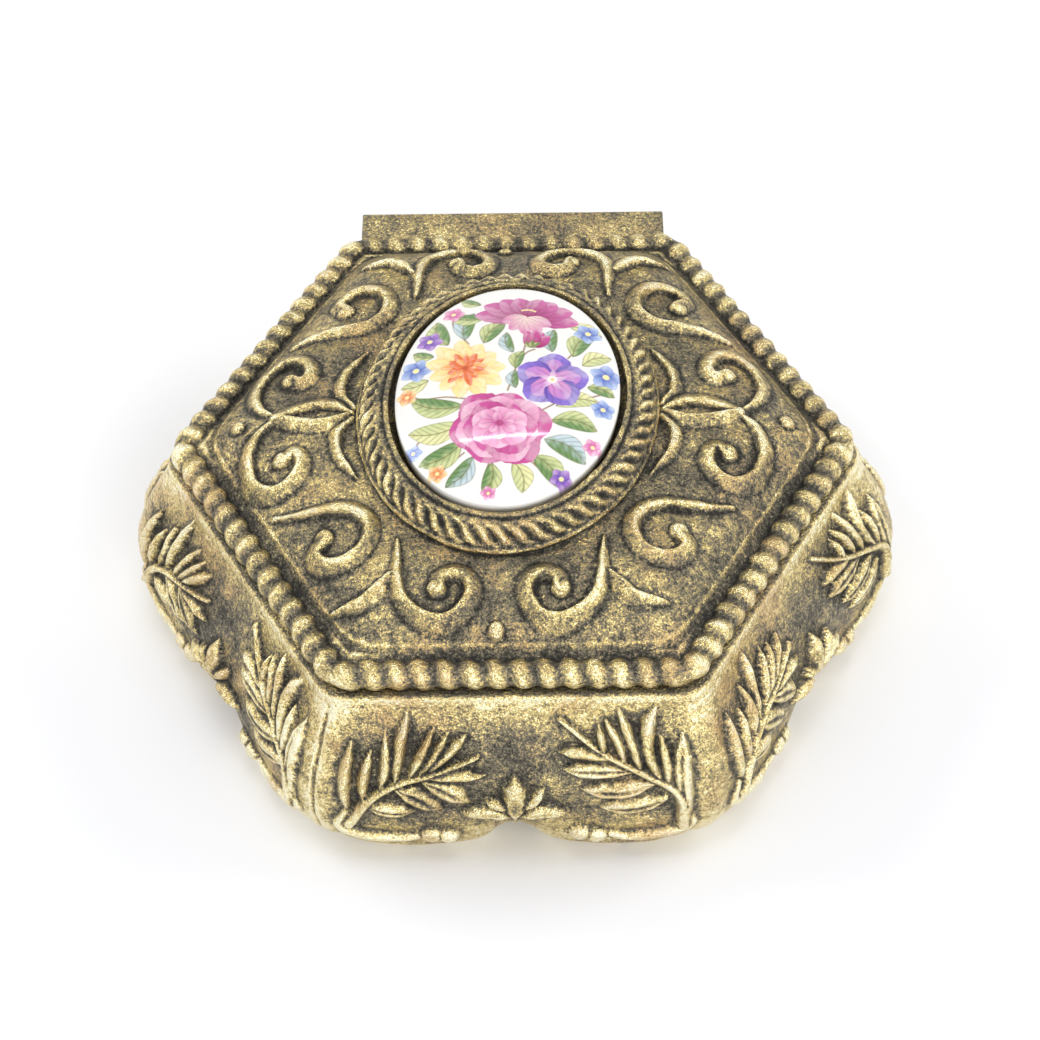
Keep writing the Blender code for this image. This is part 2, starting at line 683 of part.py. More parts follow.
def add_blade(name, side, drawn, wide, slim, group):
    """A raised blade of a spray: a keeled bar that follows the wall and slims down towards its tip."""
    places = [wall_frame(side, x, z) for x, z in drawn]
    last = len(places) - 1
    rings = []
    for step, (middle, outward) in enumerate(places):
        heading = places[min(step + 1, last)][0] - places[max(step - 1, 0)][0]
        across = outward.cross(heading).normalized()
        share = 1 + (slim / wide - 1) * step / last
        edge = across * wide * share * LID_FLAT / SCROLL_FLAT
        sunk = middle - outward * BLADE_SINK
        keel = middle + outward * BLADE_RISE * share
        rings.append([sunk + edge, keel, sunk - edge, middle - outward * BLADE_DEPTH])
    bm = bmesh.new()
    add_stack(bm, rings)
    add_guide(name, mesh_from(name, bm), group)


def add_base_relief(group):
    for side in range(SIDES):
        for number, (drawn, wide, slim) in enumerate(LEFT_SPRAY + RIGHT_SPRAY + BUD):
            add_blade("side_%d_blade_%d" % (side, number), side, drawn, wide, slim, group)
        for number, (x, z) in enumerate(FACE_BALLS):
            place, outward = wall_frame(side, x, z)
            name = "side_%d_ball_%d" % (side, number)
            relief_ball(name, place - outward * FACE_BALL_SINK, FACE_BALL, group)


def base_casting(finish):
    bm = bmesh.new()
    add_stack(bm, base_shell_rings())
    base = solid("base_casting", bm, finish)
    relief = guide_group("base_relief")
    add_base_relief(relief)
    boolean(base, "UNION", relief)
    lugs = guide_group("base_lugs")
    prism("lug_middle", lug_outline(), -MIDDLE_LUG / 2, MIDDLE_LUG / 2, lugs)
    prism("lug_right", lug_outline(), HINGE_HALF_LENGTH - END_LUG, HINGE_HALF_LENGTH, lugs)
    prism("lug_left", lug_outline(), -HINGE_HALF_LENGTH, END_LUG - HINGE_HALF_LENGTH, lugs)
    boolean(base, "UNION", lugs)
    cut_pin_bore(base)
    return base


# Linings

def lining_columns(flat):
    return even_columns(8, flat, LINING_CORNER)


def card(name, flat, bottom, finish):
    columns = lining_columns(flat)
    bm = bmesh.new()
    add_stack(bm, [outline_ring(columns, flat, LINING_CORNER, bottom + lift) for lift in (0, CARD_THICKNESS)])
    return solid(name, bm, finish)


def velvet_pad(name, flat, back, up, finish):
    """A pad with rounded edges and a low crown, growing up or down from its flat back."""
    columns = lining_columns(flat)
    edge = VELVET_THICKNESS - VELVET_CROWN - VELVET_ROUND
    rings = [outline_ring(columns, flat, LINING_CORNER, back + up * lift) for lift in (0, edge)]
    for part, crown in ((0.985, 0.0), (0.85, 0.4), (0.6, 0.8), (0.3, 1.0)):
        height = VELVET_THICKNESS - VELVET_CROWN + VELVET_CROWN * crown
        rings.append(outline_ring(columns, flat * part, LINING_CORNER * part, back + up * height))
    bm = bmesh.new()
    add_stack(bm, rings)
    return solid(name, bm, finish)


def wall_lining(finish):
    """A velvet-covered band that stands on the floor inside the rim."""
    columns = even_columns(8, LINING_FLAT, LINING_CORNER)
    low = FLOOR_HEIGHT + SEAT_GAP
    high = RIM_HEIGHT - LINING_BELOW_RIM
    middle = LINING_THICKNESS / 2
    shoulder = high - middle
    rings = []
    for inset, height in ((0, low), (0, shoulder), (middle, high), (2 * middle, shoulder), (2 * middle, low)):
        rings.append(outline_ring(columns, LINING_FLAT - inset, LINING_CORNER - inset, height))
    bm = bmesh.new()
    add_stack(bm, rings, closed=True)
    return solid("wall_lining_velvet", bm, finish)


def floor_lining(card_finish, velvet_finish):
    flat = LINING_FLAT - LINING_THICKNESS - SEAT_GAP
    card_bottom = FLOOR_HEIGHT + SEAT_GAP
    card("floor_lining_card", flat, card_bottom, card_finish)
    velvet_pad("floor_lining_velvet", flat, card_bottom + CARD_THICKNESS + SEAT_GAP, 1, velvet_finish)


def lid_lining(card_finish, velvet_finish):
    """Card and pad in the lid's hollow, each as wide as the slope of the underside lets it be."""
    velvet_back = SEAT_GAP + VELVET_THICKNESS
    card_top = velvet_back + SEAT_GAP + CARD_THICKNESS
    card_flat = LID_FLAT - inset_under(card_top + SEAT_GAP)
    pad_flat = LID_FLAT - inset_under(velvet_back + SEAT_GAP)
    backing = card("lid_lining_card", card_flat, SEAM_HEIGHT + card_top - CARD_THICKNESS, card_finish)
    pad = velvet_pad("lid_lining_velvet", pad_flat, SEAM_HEIGHT + velvet_back, -1, velvet_finish)
    return [backing, pad]


def hang_on_hinge(pieces):
    """Parent the lid's pieces to an empty on the hinge axis."""
    axis = bpy.data.objects.new("lid_hinge_axis", None)
    axis.location = (0, PIN_Y, PIN_Z)
    bpy.context.scene.collection.objects.link(axis)
    for piece in pieces:
        piece.parent = axis
        piece.location = -axis.location


def main():
    clear_scene()
    brass = material("antique_brass", (0.52, 0.38, 0.19), 1.0, 0.42)
    steel = material("pin_steel", (0.45, 0.43, 0.40), 1.0, 0.35)
    porcelain = material("porcelain", (0.90, 0.88, 0.84), 0.0, 0.12)
    velvet = material("velvet", (0.24, 0.03, 0.05), 0.0, 0.90)
    paper = material("card", (0.42, 0.36, 0.28), 0.0, 0.85)
    base_casting(brass)
    hinge_pin(steel)
    wall_lining(velvet)
    floor_lining(paper, velvet)
    hang_on_hinge([lid_casting(brass), porcelain_cabochon(porcelain)] + lid_lining(paper, velvet))


main()
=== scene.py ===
"""Looks of the hexagonal trinket box: detailed castings, painted porcelain, velvet, and a pale studio."""

import json
import math

import bmesh
import bpy
import numpy as np
from mathutils import Matrix, Vector, noise


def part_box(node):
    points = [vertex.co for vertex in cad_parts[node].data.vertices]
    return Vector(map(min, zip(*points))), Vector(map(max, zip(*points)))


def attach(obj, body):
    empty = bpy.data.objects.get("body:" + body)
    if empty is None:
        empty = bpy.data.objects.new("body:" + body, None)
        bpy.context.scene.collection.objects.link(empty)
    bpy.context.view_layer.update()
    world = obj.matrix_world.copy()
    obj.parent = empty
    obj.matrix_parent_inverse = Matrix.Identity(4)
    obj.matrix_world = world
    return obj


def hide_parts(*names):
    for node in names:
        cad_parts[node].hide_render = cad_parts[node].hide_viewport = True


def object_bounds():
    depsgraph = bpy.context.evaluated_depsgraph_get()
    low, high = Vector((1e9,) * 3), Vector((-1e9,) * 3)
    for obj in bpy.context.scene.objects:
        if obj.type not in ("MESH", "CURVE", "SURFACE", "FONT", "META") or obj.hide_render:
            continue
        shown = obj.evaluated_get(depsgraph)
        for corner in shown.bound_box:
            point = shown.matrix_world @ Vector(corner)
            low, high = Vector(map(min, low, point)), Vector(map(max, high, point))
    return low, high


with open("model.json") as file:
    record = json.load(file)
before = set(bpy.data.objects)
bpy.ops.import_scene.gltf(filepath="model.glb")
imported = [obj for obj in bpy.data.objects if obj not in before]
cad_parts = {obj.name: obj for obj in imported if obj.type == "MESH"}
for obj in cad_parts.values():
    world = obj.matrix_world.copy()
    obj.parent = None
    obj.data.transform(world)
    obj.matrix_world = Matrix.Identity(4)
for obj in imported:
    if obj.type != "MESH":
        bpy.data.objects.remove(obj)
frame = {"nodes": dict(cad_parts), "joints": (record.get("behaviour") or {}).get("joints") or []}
cad_low, cad_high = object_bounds()

# Plan of the box, in metres, as in the solid model
SIDES = 6
LID_FLAT = 0.04115
LID_CORNER = 0.0046
SEAM_HEIGHT = 0.0280
RIM_HEIGHT = 0.0277
BASE_FLAT = 0.04145
BASE_CORNER = 0.0049
PIN_Y, PIN_Z = frame["joints"][0]["pos_m"][1:]

# Rope border and domed field of the lid
ROPE_WIDTH = 0.0044
ROPE_RADIUS = 0.0020
ROPE_INSET = 0.00205
ROPE_CENTRE = 0.0014
ROPE_DEPTH = 0.21
BORDER_LINE = 0.00012
BORDER_PLACE = 0.0007
BORDER_REACH = 0.00026
ROPE_STRANDS = 84
ROPE_ROWS = 27
ROPE_START = math.radians(-42)
ROPE_SWEEP = math.radians(194)
ROPE_SLANT = 0.32
GROOVE_HEIGHT = 0.0028
FIELD_RISE = 0.0061
FIELD_RUN = 0.0055
CORNER_EASE = 24
LID_SHELL = 0.0022
LID_RIM_WIDTH = 0.0042
CEILING_INSETS = [0.0200, 0.0115, 0.0065, 0.0045, 0.0033, 0.0022, 0.0014, 0.0004]
# The last edge ring, at the seam, is darkened as painted shade
LID_EDGE_RINGS = [(LID_RIM_WIDTH, 0.35), (0.0022, 0.30), (0.0012, 0.10)]  # inset, gilt

# Raised oval bezel and the porcelain in it
OVAL_HALF_WIDTH = 0.0150
OVAL_HALF_LENGTH = 0.0200
OVAL_TILT = math.radians(-5.9)
OVAL_SHIFT = -0.0005
OVAL_START = 0.65
BEZEL_TOP = SEAM_HEIGHT + 0.0121
POCKET_FLOOR = BEZEL_TOP - 0.0023
POCKET_GAP = 0.0009
BEZEL_RIM = 0.0008
RING_RADIUS = 0.0017
RING_OUTER = POCKET_GAP + BEZEL_RIM + 2 * RING_RADIUS
RING_START = math.radians(4)
RING_SWEEP = math.radians(80)
RING_STRANDS = 57
RING_LAY = 1.0
RING_DEPTH = 0.00075
RING_LEVEL = 0.6
RING_MIDDLE = 0.56
RING_LINE = 0.00030
RING_LINE_PLACE = 0.10
RING_LINE_REACH = 0.07
RING_DROP = 0.0004
BEZEL_RINGS = [(0.0017, 0.0005), (0.0015, 0.0001), (0.0013, 0.0), (0.0010, 0.0), (POCKET_GAP, 0.0002),
               (POCKET_GAP, 0.0012), (POCKET_GAP, BEZEL_TOP - POCKET_FLOOR)]  # offset, drop
PORCELAIN_CROWN = 0.00237
PORCELAIN_EDGE = 0.0004
SEAT_GAP = 0.0003

# Scrolls of the lid in millimetres, for the front right quarter
MM = 0.001
SCROLL_SHIFT = -0.0007
SCROLL_SKEW = 0.033
SCROLL_HEIGHT = 0.00125
SCROLL_HALF_WIDTH = 0.00130
CREST_PLACE = 0.40
SCROLL_TAPER = [0.30, 0.85, 1.0, 1.0, 1.0, 0.9]
LEAF_TAPER = [0.55, 1.0, 0.95, 0.75, 0.2]
BLADE_TAPER = [0.30, 0.85, 1.0, 0.90, 0.12]
STEM_TAPER = [1.0, 0.85, 0.7, 0.55, 0.4]
BALL_RADIUS = 0.0013
FRONT_SCROLL = [(13.5, -22.4), (13.4, -25.2), (13.5, -27.7), (12.9, -30.5), (11.2, -32.7), (8.5, -34.0),
                (5.8, -33.7), (4.0, -32.0), (3.3, -30.0), (4.0, -28.2), (5.8, -27.4), (7.6, -28.2),
                (8.0, -29.8)]
FRONT_LEAF = [(14.2, -28.0), (15.7, -30.0), (17.9, -31.3), (21.7, -31.2)]
CORNER_SCROLL = [(30.3, -15.3), (27.3, -16.0), (24.2, -16.1), (21.0, -16.2), (18.7, -17.2), (17.2, -19.0),
                 (17.0, -21.5), (18.3, -24.0), (20.8, -25.1), (23.2, -24.5), (24.5, -22.5), (23.2, -20.6)]
SIDE_SCROLL = [(31.6, -0.4), (33.5, -2.0), (34.7, -4.5), (34.8, -7.0), (33.6, -10.2), (31.0, -12.0),
               (28.6, -11.5), (27.1, -9.5), (27.0, -7.5), (28.2, -6.2), (29.8, -7.2)]
SIDE_CRESCENT = [(20.8, -1.0), (22.6, -3.2), (22.8, -5.5), (22.1, -7.9), (20.7, -9.9), (19.5, -11.5)]
SIDE_ALMOND = [(20.8, 0.0), (23.3, -1.7), (26.0, -2.0), (28.7, -1.4), (31.3, -0.2)]
DOTS = [(37.2, 0.0), (-37.2, 0.0), (-2.0, -34.8), (-1.0, 34.5)]
SCROLLS = [FRONT_SCROLL, CORNER_SCROLL, SIDE_SCROLL]
LEAF_FORMS = [  # points, half width and rise as shares of a scroll's, taper
    (FRONT_LEAF, 1.0, 1.0, LEAF_TAPER), (SIDE_CRESCENT, 0.75, 0.7, LEAF_TAPER),
    (SIDE_ALMOND, 0.95, 0.8, SCROLL_TAPER),
]

# Swelling wall of the base
BULGE = 0.0052
BULGE_HEIGHT = 0.0110
BULGE_EASE = 1.4
CURL = 0.0055
LOBE = 0.0024
LOBE_FADE = 1.2
BASE_WALL = 0.0028
RIM_WIDTH = 0.0032
RIM_DEPTH = 0.0030
WALL_TOP = RIM_HEIGHT - 0.0017
FOOT_RING = 0.0030
RECESS_HEIGHT = 0.0036
FLOOR_HEIGHT = 0.0052
NOTCH_HALF = 0.0048
NOTCH_HEIGHT = 0.0030
BASE_RIM_RINGS = [  # outset, drop, gilt
    (-RIM_WIDTH, 0.0002, 0.6), (0.0002 - RIM_WIDTH, 0, 0.6), (-RIM_WIDTH / 2, 0, 0.5), (-0.0005, 0, 0.3),
    (-0.0002, 0.0001, 0.4), (0, 0.0003, 0.72), (0.0001, 0.0006, 0.80), (0.0002, 0.0010, 0.80),
    (0.0003, 0.0014, 0.76),
]

# Ornament of each side of the base, in millimetres from the middle of the side and from the ground. A row is
# a blade's half width, then its points from root to tip; the first row of a spray is its stem
SPRAY_SHIFT = -0.0014
BLADE_RISE = 0.00135
FACE_BALL = 0.0015
FACE_BALL_SINK = 0.0003
FACE_BALLS = [(-8.9, 5.6), (-6.9, 5.2), (9.4, 5.6), (11.4, 5.2)]
LEFT_SPRAY = [
    (1.0, -19.0, 8.5, -16.3, 13.4, -13.2, 15.7, -10.0, 16.8, -6.4, 18.0, -3.3, 19.4),
    (1.05, -19.2, 11.5, -19.8, 16.5, -19.7, 21.8),
    (0.95, -17.2, 13.0, -17.4, 16.8, -17.0, 20.4),
    (1.0, -15.2, 15.0, -14.7, 18.4, -15.5, 22.6),
    (1.05, -13.4, 16.0, -13.4, 20.9, -12.9, 25.5),
    (0.95, -11.6, 16.8, -10.4, 19.8, -9.2, 23.4),
    (0.95, -10.4, 17.2, -8.8, 19.6, -7.2, 22.8),
    (1.05, -9.4, 17.4, -7.0, 20.0, -4.8, 22.4),
    (1.15, -9.4, 16.6, -6.0, 16.9, -2.4, 16.6),
    (1.9, -9.6, 15.8, -7.0, 14.6, -4.2, 12.4),
    (1.9, -13.0, 14.6, -10.2, 13.2, -7.6, 10.9),
    (1.7, -16.6, 11.6, -14.0, 11.0, -11.0, 10.6),
]
RIGHT_SPRAY = [
    (1.1, 22.2, 7.5, 21.6, 13.8, 17.9, 16.8, 15.0, 18.4, 11.6, 20.8, 7.7, 24.3),
    (1.55, 22.6, 8.0, 22.2, 15.0, 22.6, 18.6, 23.6, 22.2),
    (0.95, 20.4, 14.8, 20.7, 18.4, 20.6, 22.0),
    (1.3, 20.0, 14.6, 18.5, 19.8, 19.2, 23.4, 20.8, 26.0),
    (1.1, 17.2, 17.2, 16.8, 21.0, 15.6, 26.0),
    (0.95, 15.4, 18.4, 15.0, 21.4, 13.6, 24.4),
    (0.8, 12.9, 19.7, 12.9, 21.5, 12.7, 23.4),
    (1.15, 14.0, 19.0, 10.4, 19.9, 7.1, 20.0),
    (1.6, 16.0, 17.2, 11.6, 17.5, 7.6, 17.5),
    (1.8, 18.4, 15.2, 14.2, 14.2, 9.8, 14.4),
    (1.9, 19.8, 12.6, 16.0, 11.4, 12.0, 11.0),
]
BUD = [
    (1.85, 1.4, 9.0, 1.4, 12.8, 1.4, 16.8),
    (1.3, 0.6, 9.6, -1.8, 10.6, -5.2, 10.2),
    (1.3, 2.2, 9.6, 4.6, 10.6, 8.0, 10.2),
    (0.9, 2.4, 11.4, 3.8, 12.8, 5.0, 14.8),
    (0.9, 0.4, 11.4, -0.8, 12.2, -2.2, 12.8),
]
LIPS = [
    [(-19.4, 10.5), (-20.4, 8.2), (-19.4, 6.4), (-16.6, 5.2), (-13.4, 4.9), (-10.6, 5.3)],
    [(23.0, 9.0), (23.2, 7.4), (21.4, 5.8), (18.6, 5.0), (15.6, 4.8), (13.2, 5.2)],
]
LIP_HALF_WIDTH = 0.0012
LIP_RISE = 0.0009
LIP_TAPER = [0.5, 0.9, 1.0, 1.0, 0.6]
BUD_RISE = BLADE_RISE * 1.25
STEM_RISE = BLADE_RISE * 1.05
LEAF_GROOVE = 0.28
BROAD_BLADE = 1.5
PARTING_LINE = 0.00035

# Gilt of the castings, from 0 (dark) to 1 (polished), by place or as (places, values). The rope's first rows,
# turned under at the seam, are kept dark as painted shade
CEILING_GILT = 0.45
ROPE_GILT_AND_SHADE = [(0, 0.16, 0.55, 0.85, 1), (0.12, 0.42, 0.42, 0.36, 0.33)]
FIELD_GILT = 0.47
BAND_GILT = 0.39
POCKET_GILT = 0.34
WALL_GILT = [(0.0, 0.005, 0.009, 0.0215, 0.0245, 0.026), (0.68, 0.66, 0.47, 0.46, 0.60, 0.72)]
CORNER_GILT = 0.15
CORNER_SPAN = 0.22
MIDDLE_SHADE = [(0.004, 0.009, 0.020, 0.0245), (0.0, 0.10, 0.10, 0.0)]
MIDDLE_SPAN = 0.34
INSIDE_GILT = 0.4
LEDGE_GILT = 0.5
FOOT_GILT = 0.4
RECESS_GILT = 0.3
HINGE_GILT = 0.5
HINGE_BAR_GILT = 0.53

# Grain of the castings as (scale, seed, height), crests and hollows as (smoothings, full height), and
# what wear leaves of them; the crests' lightening is partly wear and partly a painted highlight
LID_GRAIN = [(900, 1, 0.00007), (360, 2, 0.00012)]
BASE_GRAIN = [(900, 3, 0.00007), (330, 4, 0.00013)]
CAVITIES = [(3, 0.00006), (14, 0.00022)]
INSIDE_WEAR = 0.3
BASE_HOLLOW = 0.85
UNDERSIDE_ROWS = 13
UNDERSIDE_CREST = 0.2
GROOVE_ROWS = 8
ROPE_HOLLOW = 0.7
FIELD_HOLLOW = 1.3
BEZEL_ROWS = 8
BEZEL_CREST = 0.5

# Hinge
HINGE_SIDE = 3
KNUCKLE_RADIUS = 0.0018
HINGE_LEAF_TOP = PIN_Z - KNUCKLE_RADIUS - 0.0023
HINGE_HALF_LENGTH = 0.0205
END_LUG = 0.0065
MIDDLE_LUG = 0.0080
KNUCKLE_GAP = 0.0003
PIN_END = 0.0004
BAR_END = 0.0010
BAR_REAR = 0.0001
BAR_ROOT = 0.0012
BAR_UNDER = PIN_Z + KNUCKLE_RADIUS + SEAT_GAP
BAR_TOP = BAR_UNDER + 0.0018
BAR_ROUND = 0.0007
LUG_FACE = 0.0020
LUG_REACH = 0.0065
LUG_TURN = math.radians(145)
OPEN_LEAN = math.radians(10)
SOFT_EDGE = 0.00022
SHARP_EDGE = math.radians(35)

# Mesh density
LID_COLUMNS = 1080
FIELD_ROWS = 84
BASE_COLUMNS = 1200
WALL_ROWS = 140
RING_ROWS = 20
PORCELAIN_ACROSS = 264
PORCELAIN_ALONG = 350


# Outlines. A column is its side's direction, its share of the half side and its turn round the corner

def unit(value):
    return np.clip(value, 0, 1)


def half_side(flat, corner):
    return (flat - corner) * math.tan(math.pi / SIDES)


def even_columns(count, flat, corner):
    """Columns at even distances round a hexagon, from the middle of the front left corner."""
    half = half_side(flat, corner)
    reach = half + corner * math.pi / SIDES
    run = 2 * reach * SIDES * np.arange(count) / count
    side = np.floor(run / (2 * reach))
    run = run - side * 2 * reach - reach
    share = np.clip(run / half, -1, 1)
    normal = side * 2 * math.pi / SIDES - math.pi / 2
    return normal, share, (run - share * half) / corner


def outline(columns, flat, corner, height):
    """Points (count, 3) on a hexagon's outline; flat, corner and height may vary along it."""
    normal, share, turn = columns
    corner = np.maximum(corner, 0)
    along = half_side(flat, corner) * share
    x = (flat - corner) * np.cos(normal) - along * np.sin(normal) + corner * np.cos(normal + turn)
    y = (flat - corner) * np.sin(normal) + along * np.cos(normal) + corner * np.sin(normal + turn)
    return np.stack([x, y, np.broadcast_to(height, x.shape)], 1)


def on_oval(x, y, height):
    """Points (..., 3) from places across and along the tilted oval."""
    tilt_cos, tilt_sin = math.cos(OVAL_TILT), math.sin(OVAL_TILT)
    return np.stack([x * tilt_cos - y * tilt_sin + OVAL_SHIFT, x * tilt_sin + y * tilt_cos,
                     np.broadcast_to(height, x.shape)], -1)


def oval_points(share, offset, height):
    turn = 2 * math.pi * share
    across, along = OVAL_HALF_WIDTH + offset, OVAL_HALF_LENGTH + offset
    return on_oval(across * np.cos(turn), along * np.sin(turn), height)


def oval_shares(count):
    """Shares round the oval at even distances along the outside of its band."""
    fine = OVAL_START + np.arange(1441) / 1440
    steps = np.linalg.norm(np.diff(oval_points(fine, RING_OUTER, 0), axis=0), axis=1)
    reach = np.concatenate([[0], np.cumsum(steps)])
    return np.interp(reach[-1] * np.arange(count) / count, reach, fine)


def dome(inset):
    """Height of the field above the seam, with the fine line that runs along its border."""
    past = np.maximum(inset - ROPE_WIDTH, 0)
    line = BORDER_LINE * np.exp(-((past - BORDER_PLACE) / BORDER_REACH) ** 2)
    return GROOVE_HEIGHT + FIELD_RISE * (1 - np.exp(-past / FIELD_RUN)) + line


def field_height(points):
    """Height of the domed field at points (count, 3), eased over the lines from its middle to the corners."""
    angles = np.arange(SIDES) * 2 * math.pi / SIDES - math.pi / 2
    x, y = points[:, 0], points[:, 1]
    reach = np.array([np.maximum(x * math.cos(angle) + y * math.sin(angle), 0) for angle in angles])
    return SEAM_HEIGHT + dome(LID_FLAT - np.sum(reach ** CORNER_EASE, axis=0) ** (1 / CORNER_EASE))


# Relief

def smooth_path(points, steps=12):
    """Catmull-Rom curve through points (count, 2)."""
    points = np.asarray(points, float)
    ends = np.concatenate([[2 * points[0] - points[1]], points, [2 * points[-1] - points[-2]]])
    t = (np.arange(steps) / steps)[:, None]
    parts = []
    for before, start, stop, after in zip(ends, ends[1:], ends[2:], ends[3:]):
        parts.append(0.5 * (2 * start + (stop - before) * t
                            + (2 * before - 5 * start + 4 * stop - after) * t ** 2
                            + (3 * start - before - 3 * stop + after) * t ** 3))
    return np.concatenate(parts + [points[-1:]])


def along_path(points, path):
    """For each point: its distance to the path, the same signed by its side, and its share of the way."""
    best = np.full(len(points), 1e9)
    signed = np.zeros(len(points))
    share = np.zeros(len(points))
    last = len(path) - 1
    for index, (start, stop) in enumerate(zip(path, path[1:])):
        edge = stop - start
        part = unit(((points - start) @ edge) / (edge @ edge))
        away = points - start - part[:, None] * edge
        distance = np.hypot(away[:, 0], away[:, 1])
        side = np.sign(edge[0] * away[:, 1] - edge[1] * away[:, 0])
        closer = distance < best
        best = np.where(closer, distance, best)
        signed = np.where(closer, distance * side, signed)
        share = np.where(closer, (index + part) / last, share)
    return best, signed, share


def turning(path):
    edges = np.diff(path, axis=0)
    return np.sign(np.sum(edges[:-1, 0] * edges[1:, 1] - edges[:-1, 1] * edges[1:, 0]))


def add_ridge(height, points, path, reach, rise, taper, crest=0.0, groove=0.0):
    """Raise height along a path: a ridge that leans into its curl, or a grooved leaf."""
    low, high = path.min(0) - reach, path.max(0) + reach
    near = np.all((points > low) & (points < high), axis=1)
    if not near.any():
        return
    _, signed, share = along_path(points[near], path)
    size = np.interp(share, np.linspace(0, 1, len(taper)), taper)
    inner = signed * turning(path) / (reach * size) - crest
    short = unit(inner / (1 - crest))
    long = unit(-inner / (1 + crest))
    shape = np.where(inner > 0, (1 - short ** 2) ** 0.9, (1 - long ** 1.7) ** 1.05)
    shape = shape - groove * np.exp(-(inner / 0.25) ** 2)
    height[near] = np.maximum(height[near], shape * rise * size ** 0.6)


def add_ball(height, points, centre, radius, rise=1.0, sink=0.0):
    distance = np.hypot(points[:, 0] - centre[0], points[:, 1] - centre[1])
    bump = np.sqrt(np.clip(radius ** 2 - distance ** 2, 0, None)) * rise - sink
    np.maximum(height, bump, out=height)


def edge_fade(rows):
    """Nought at the first and last row and one from the fourth on."""
    row = np.arange(rows)
    return unit(np.minimum(row, row[::-1]) / 3)[:, None]


def strand_profile(phase):
    """Height of a twisted strand across its width, from a broad valley to a narrow round top."""
    return (0.5 - 0.5 * np.cos(2 * math.pi * phase)) ** 0.85


def blur(grid, times):
    """Average a grid of rows and round columns with its neighbours."""
    for _ in range(times):
        padded = np.concatenate([grid[:1], grid, grid[-1:]])
        grid = (padded[:-2] + 2 * grid + padded[2:]) / 4
        grid = (np.roll(grid, 1, 1) + 2 * grid + np.roll(grid, -1, 1)) / 4
    return grid


def roughness(points, layers):
    """Cast grain, in metres, at points (rows, columns, 3), from layers of (scale, seed, height)."""
    total = np.zeros(points.shape[0] * points.shape[1])
    for scale, seed, height in layers:
        shift = Vector((seed * 17.3, seed * 5.1, seed * 11.7))
        values = [noise.noise(Vector(point) * scale + shift) for point in points.reshape(-1, 3)]
        total += np.array(values) * height
    return total.reshape(points.shape[:2])


# Mesh building

def grid_faces(rows, columns, loop):
    """Quads of a grid whose columns close round; with loop, its last row meets its first too."""
    index = np.arange(rows * columns).reshape(rows, columns)
    right = np.roll(index, -1, axis=1)
    faces = np.stack([index, right, np.roll(right, -1, 0), np.roll(index, -1, 0)], -1)
    return faces[:rows if loop else -1].reshape(-1, 4).tolist()


def grid_normals(points):
    """Unit normals of a grid (rows, columns, 3) whose columns close round."""
    down = np.gradient(points, axis=0)
    round_ = np.roll(points, -1, 1) - np.roll(points, 1, 1)
    normal = np.cross(round_, down)
    length = np.linalg.norm(normal, axis=2, keepdims=True)
    return normal / np.maximum(length, 1e-12)


def closed_mesh(name, points, attributes=None, loop=False):
    """A closed object from a grid of rings; the first and last meet in a loop, or are closed by fans."""
    rows, columns = points.shape[:2]
    vertices = points.reshape(-1, 3)
    faces = grid_faces(rows, columns, loop)
    if not loop:
        vertices = np.concatenate([vertices, [points[0].mean(0), points[-1].mean(0)]])
        first, end = rows * columns, (rows - 1) * columns
        for index in range(columns):
            following = (index + 1) % columns
            faces += [(first, following, index), (first + 1, end + index, end + following)]
    mesh = bpy.data.meshes.new(name)
    mesh.from_pydata(vertices.tolist(), [], faces)
    for key, values in (attributes or {}).items():
        flat = np.append(values, [values[0, 0], values[-1, -1]]).astype(np.float32)
        mesh.attributes.new(key, "FLOAT", "POINT").data.foreach_set("value", flat)
    return smooth_object(name, mesh)


def smooth_object(name, mesh):
    bm = bmesh.new()
    bm.from_mesh(mesh)
    bmesh.ops.recalc_face_normals(bm, faces=bm.faces)
    bm.to_mesh(mesh)
    bm.free()
    mesh.shade_smooth()
    return add_object(name, mesh)


def add_object(name, data):
    made = bpy.data.objects.new(name, data)
    bpy.context.scene.collection.objects.link(made)
    return made


# Node materials

class Nodes:
    """Short way to add shader nodes to a material or a world."""

    def __init__(self, tree):
        self.tree = tree

    def fill(self, node, sockets):
        """Link sockets to other nodes or give them plain values; colours come without alpha."""
        for name, value in sockets.items():
            socket = node.inputs[name]
            if isinstance(value, bpy.types.NodeSocket):
                self.tree.links.new(value, socket)
            else:
                socket.default_value = (*value, 1.0) if socket.type == "RGBA" else value

    def add(self, kind, sockets=None, **properties):
        node = self.tree.nodes.new(kind)
        for name, value in properties.items():
            setattr(node, name, value)
        self.fill(node, sockets or {})
        return node

    def shade(self, sockets, shader="Principled BSDF"):
        self.fill(self.tree.nodes[shader], sockets)

    def math(self, operation, first, second, clamp=False):
        node = self.add("ShaderNodeMath", {0: first, 1: second}, operation=operation, use_clamp=clamp)
        return node.outputs[0]

    def mix(self, factor, first, second):
        return self.add("ShaderNodeMix", {0: factor, 6: first, 7: second}, data_type="RGBA").outputs[2]

    def span(self, value, low, high, start=0.0, stop=1.0):
        return self.add("ShaderNodeMapRange", {"Value": value, "From Min": low, "From Max": high,
                                               "To Min": start, "To Max": stop}).outputs[0]

    def attribute(self, name):
        return self.add("ShaderNodeAttribute", attribute_name=name).outputs

    def noise(self, scale, detail, roughness):
        place = self.add("ShaderNodeTexCoord").outputs["Object"]
        return self.add("ShaderNodeTexNoise", {"Vector": place, "Scale": scale, "Detail": detail,
                                               "Roughness": roughness}).outputs[0]

    def bump(self, height, strength, distance, under=None):
        sockets = {"Height": height, "Strength": strength, "Distance": distance}
        if under is not None:
            sockets["Normal"] = under
        return self.add("ShaderNodeBump", sockets).outputs[0]


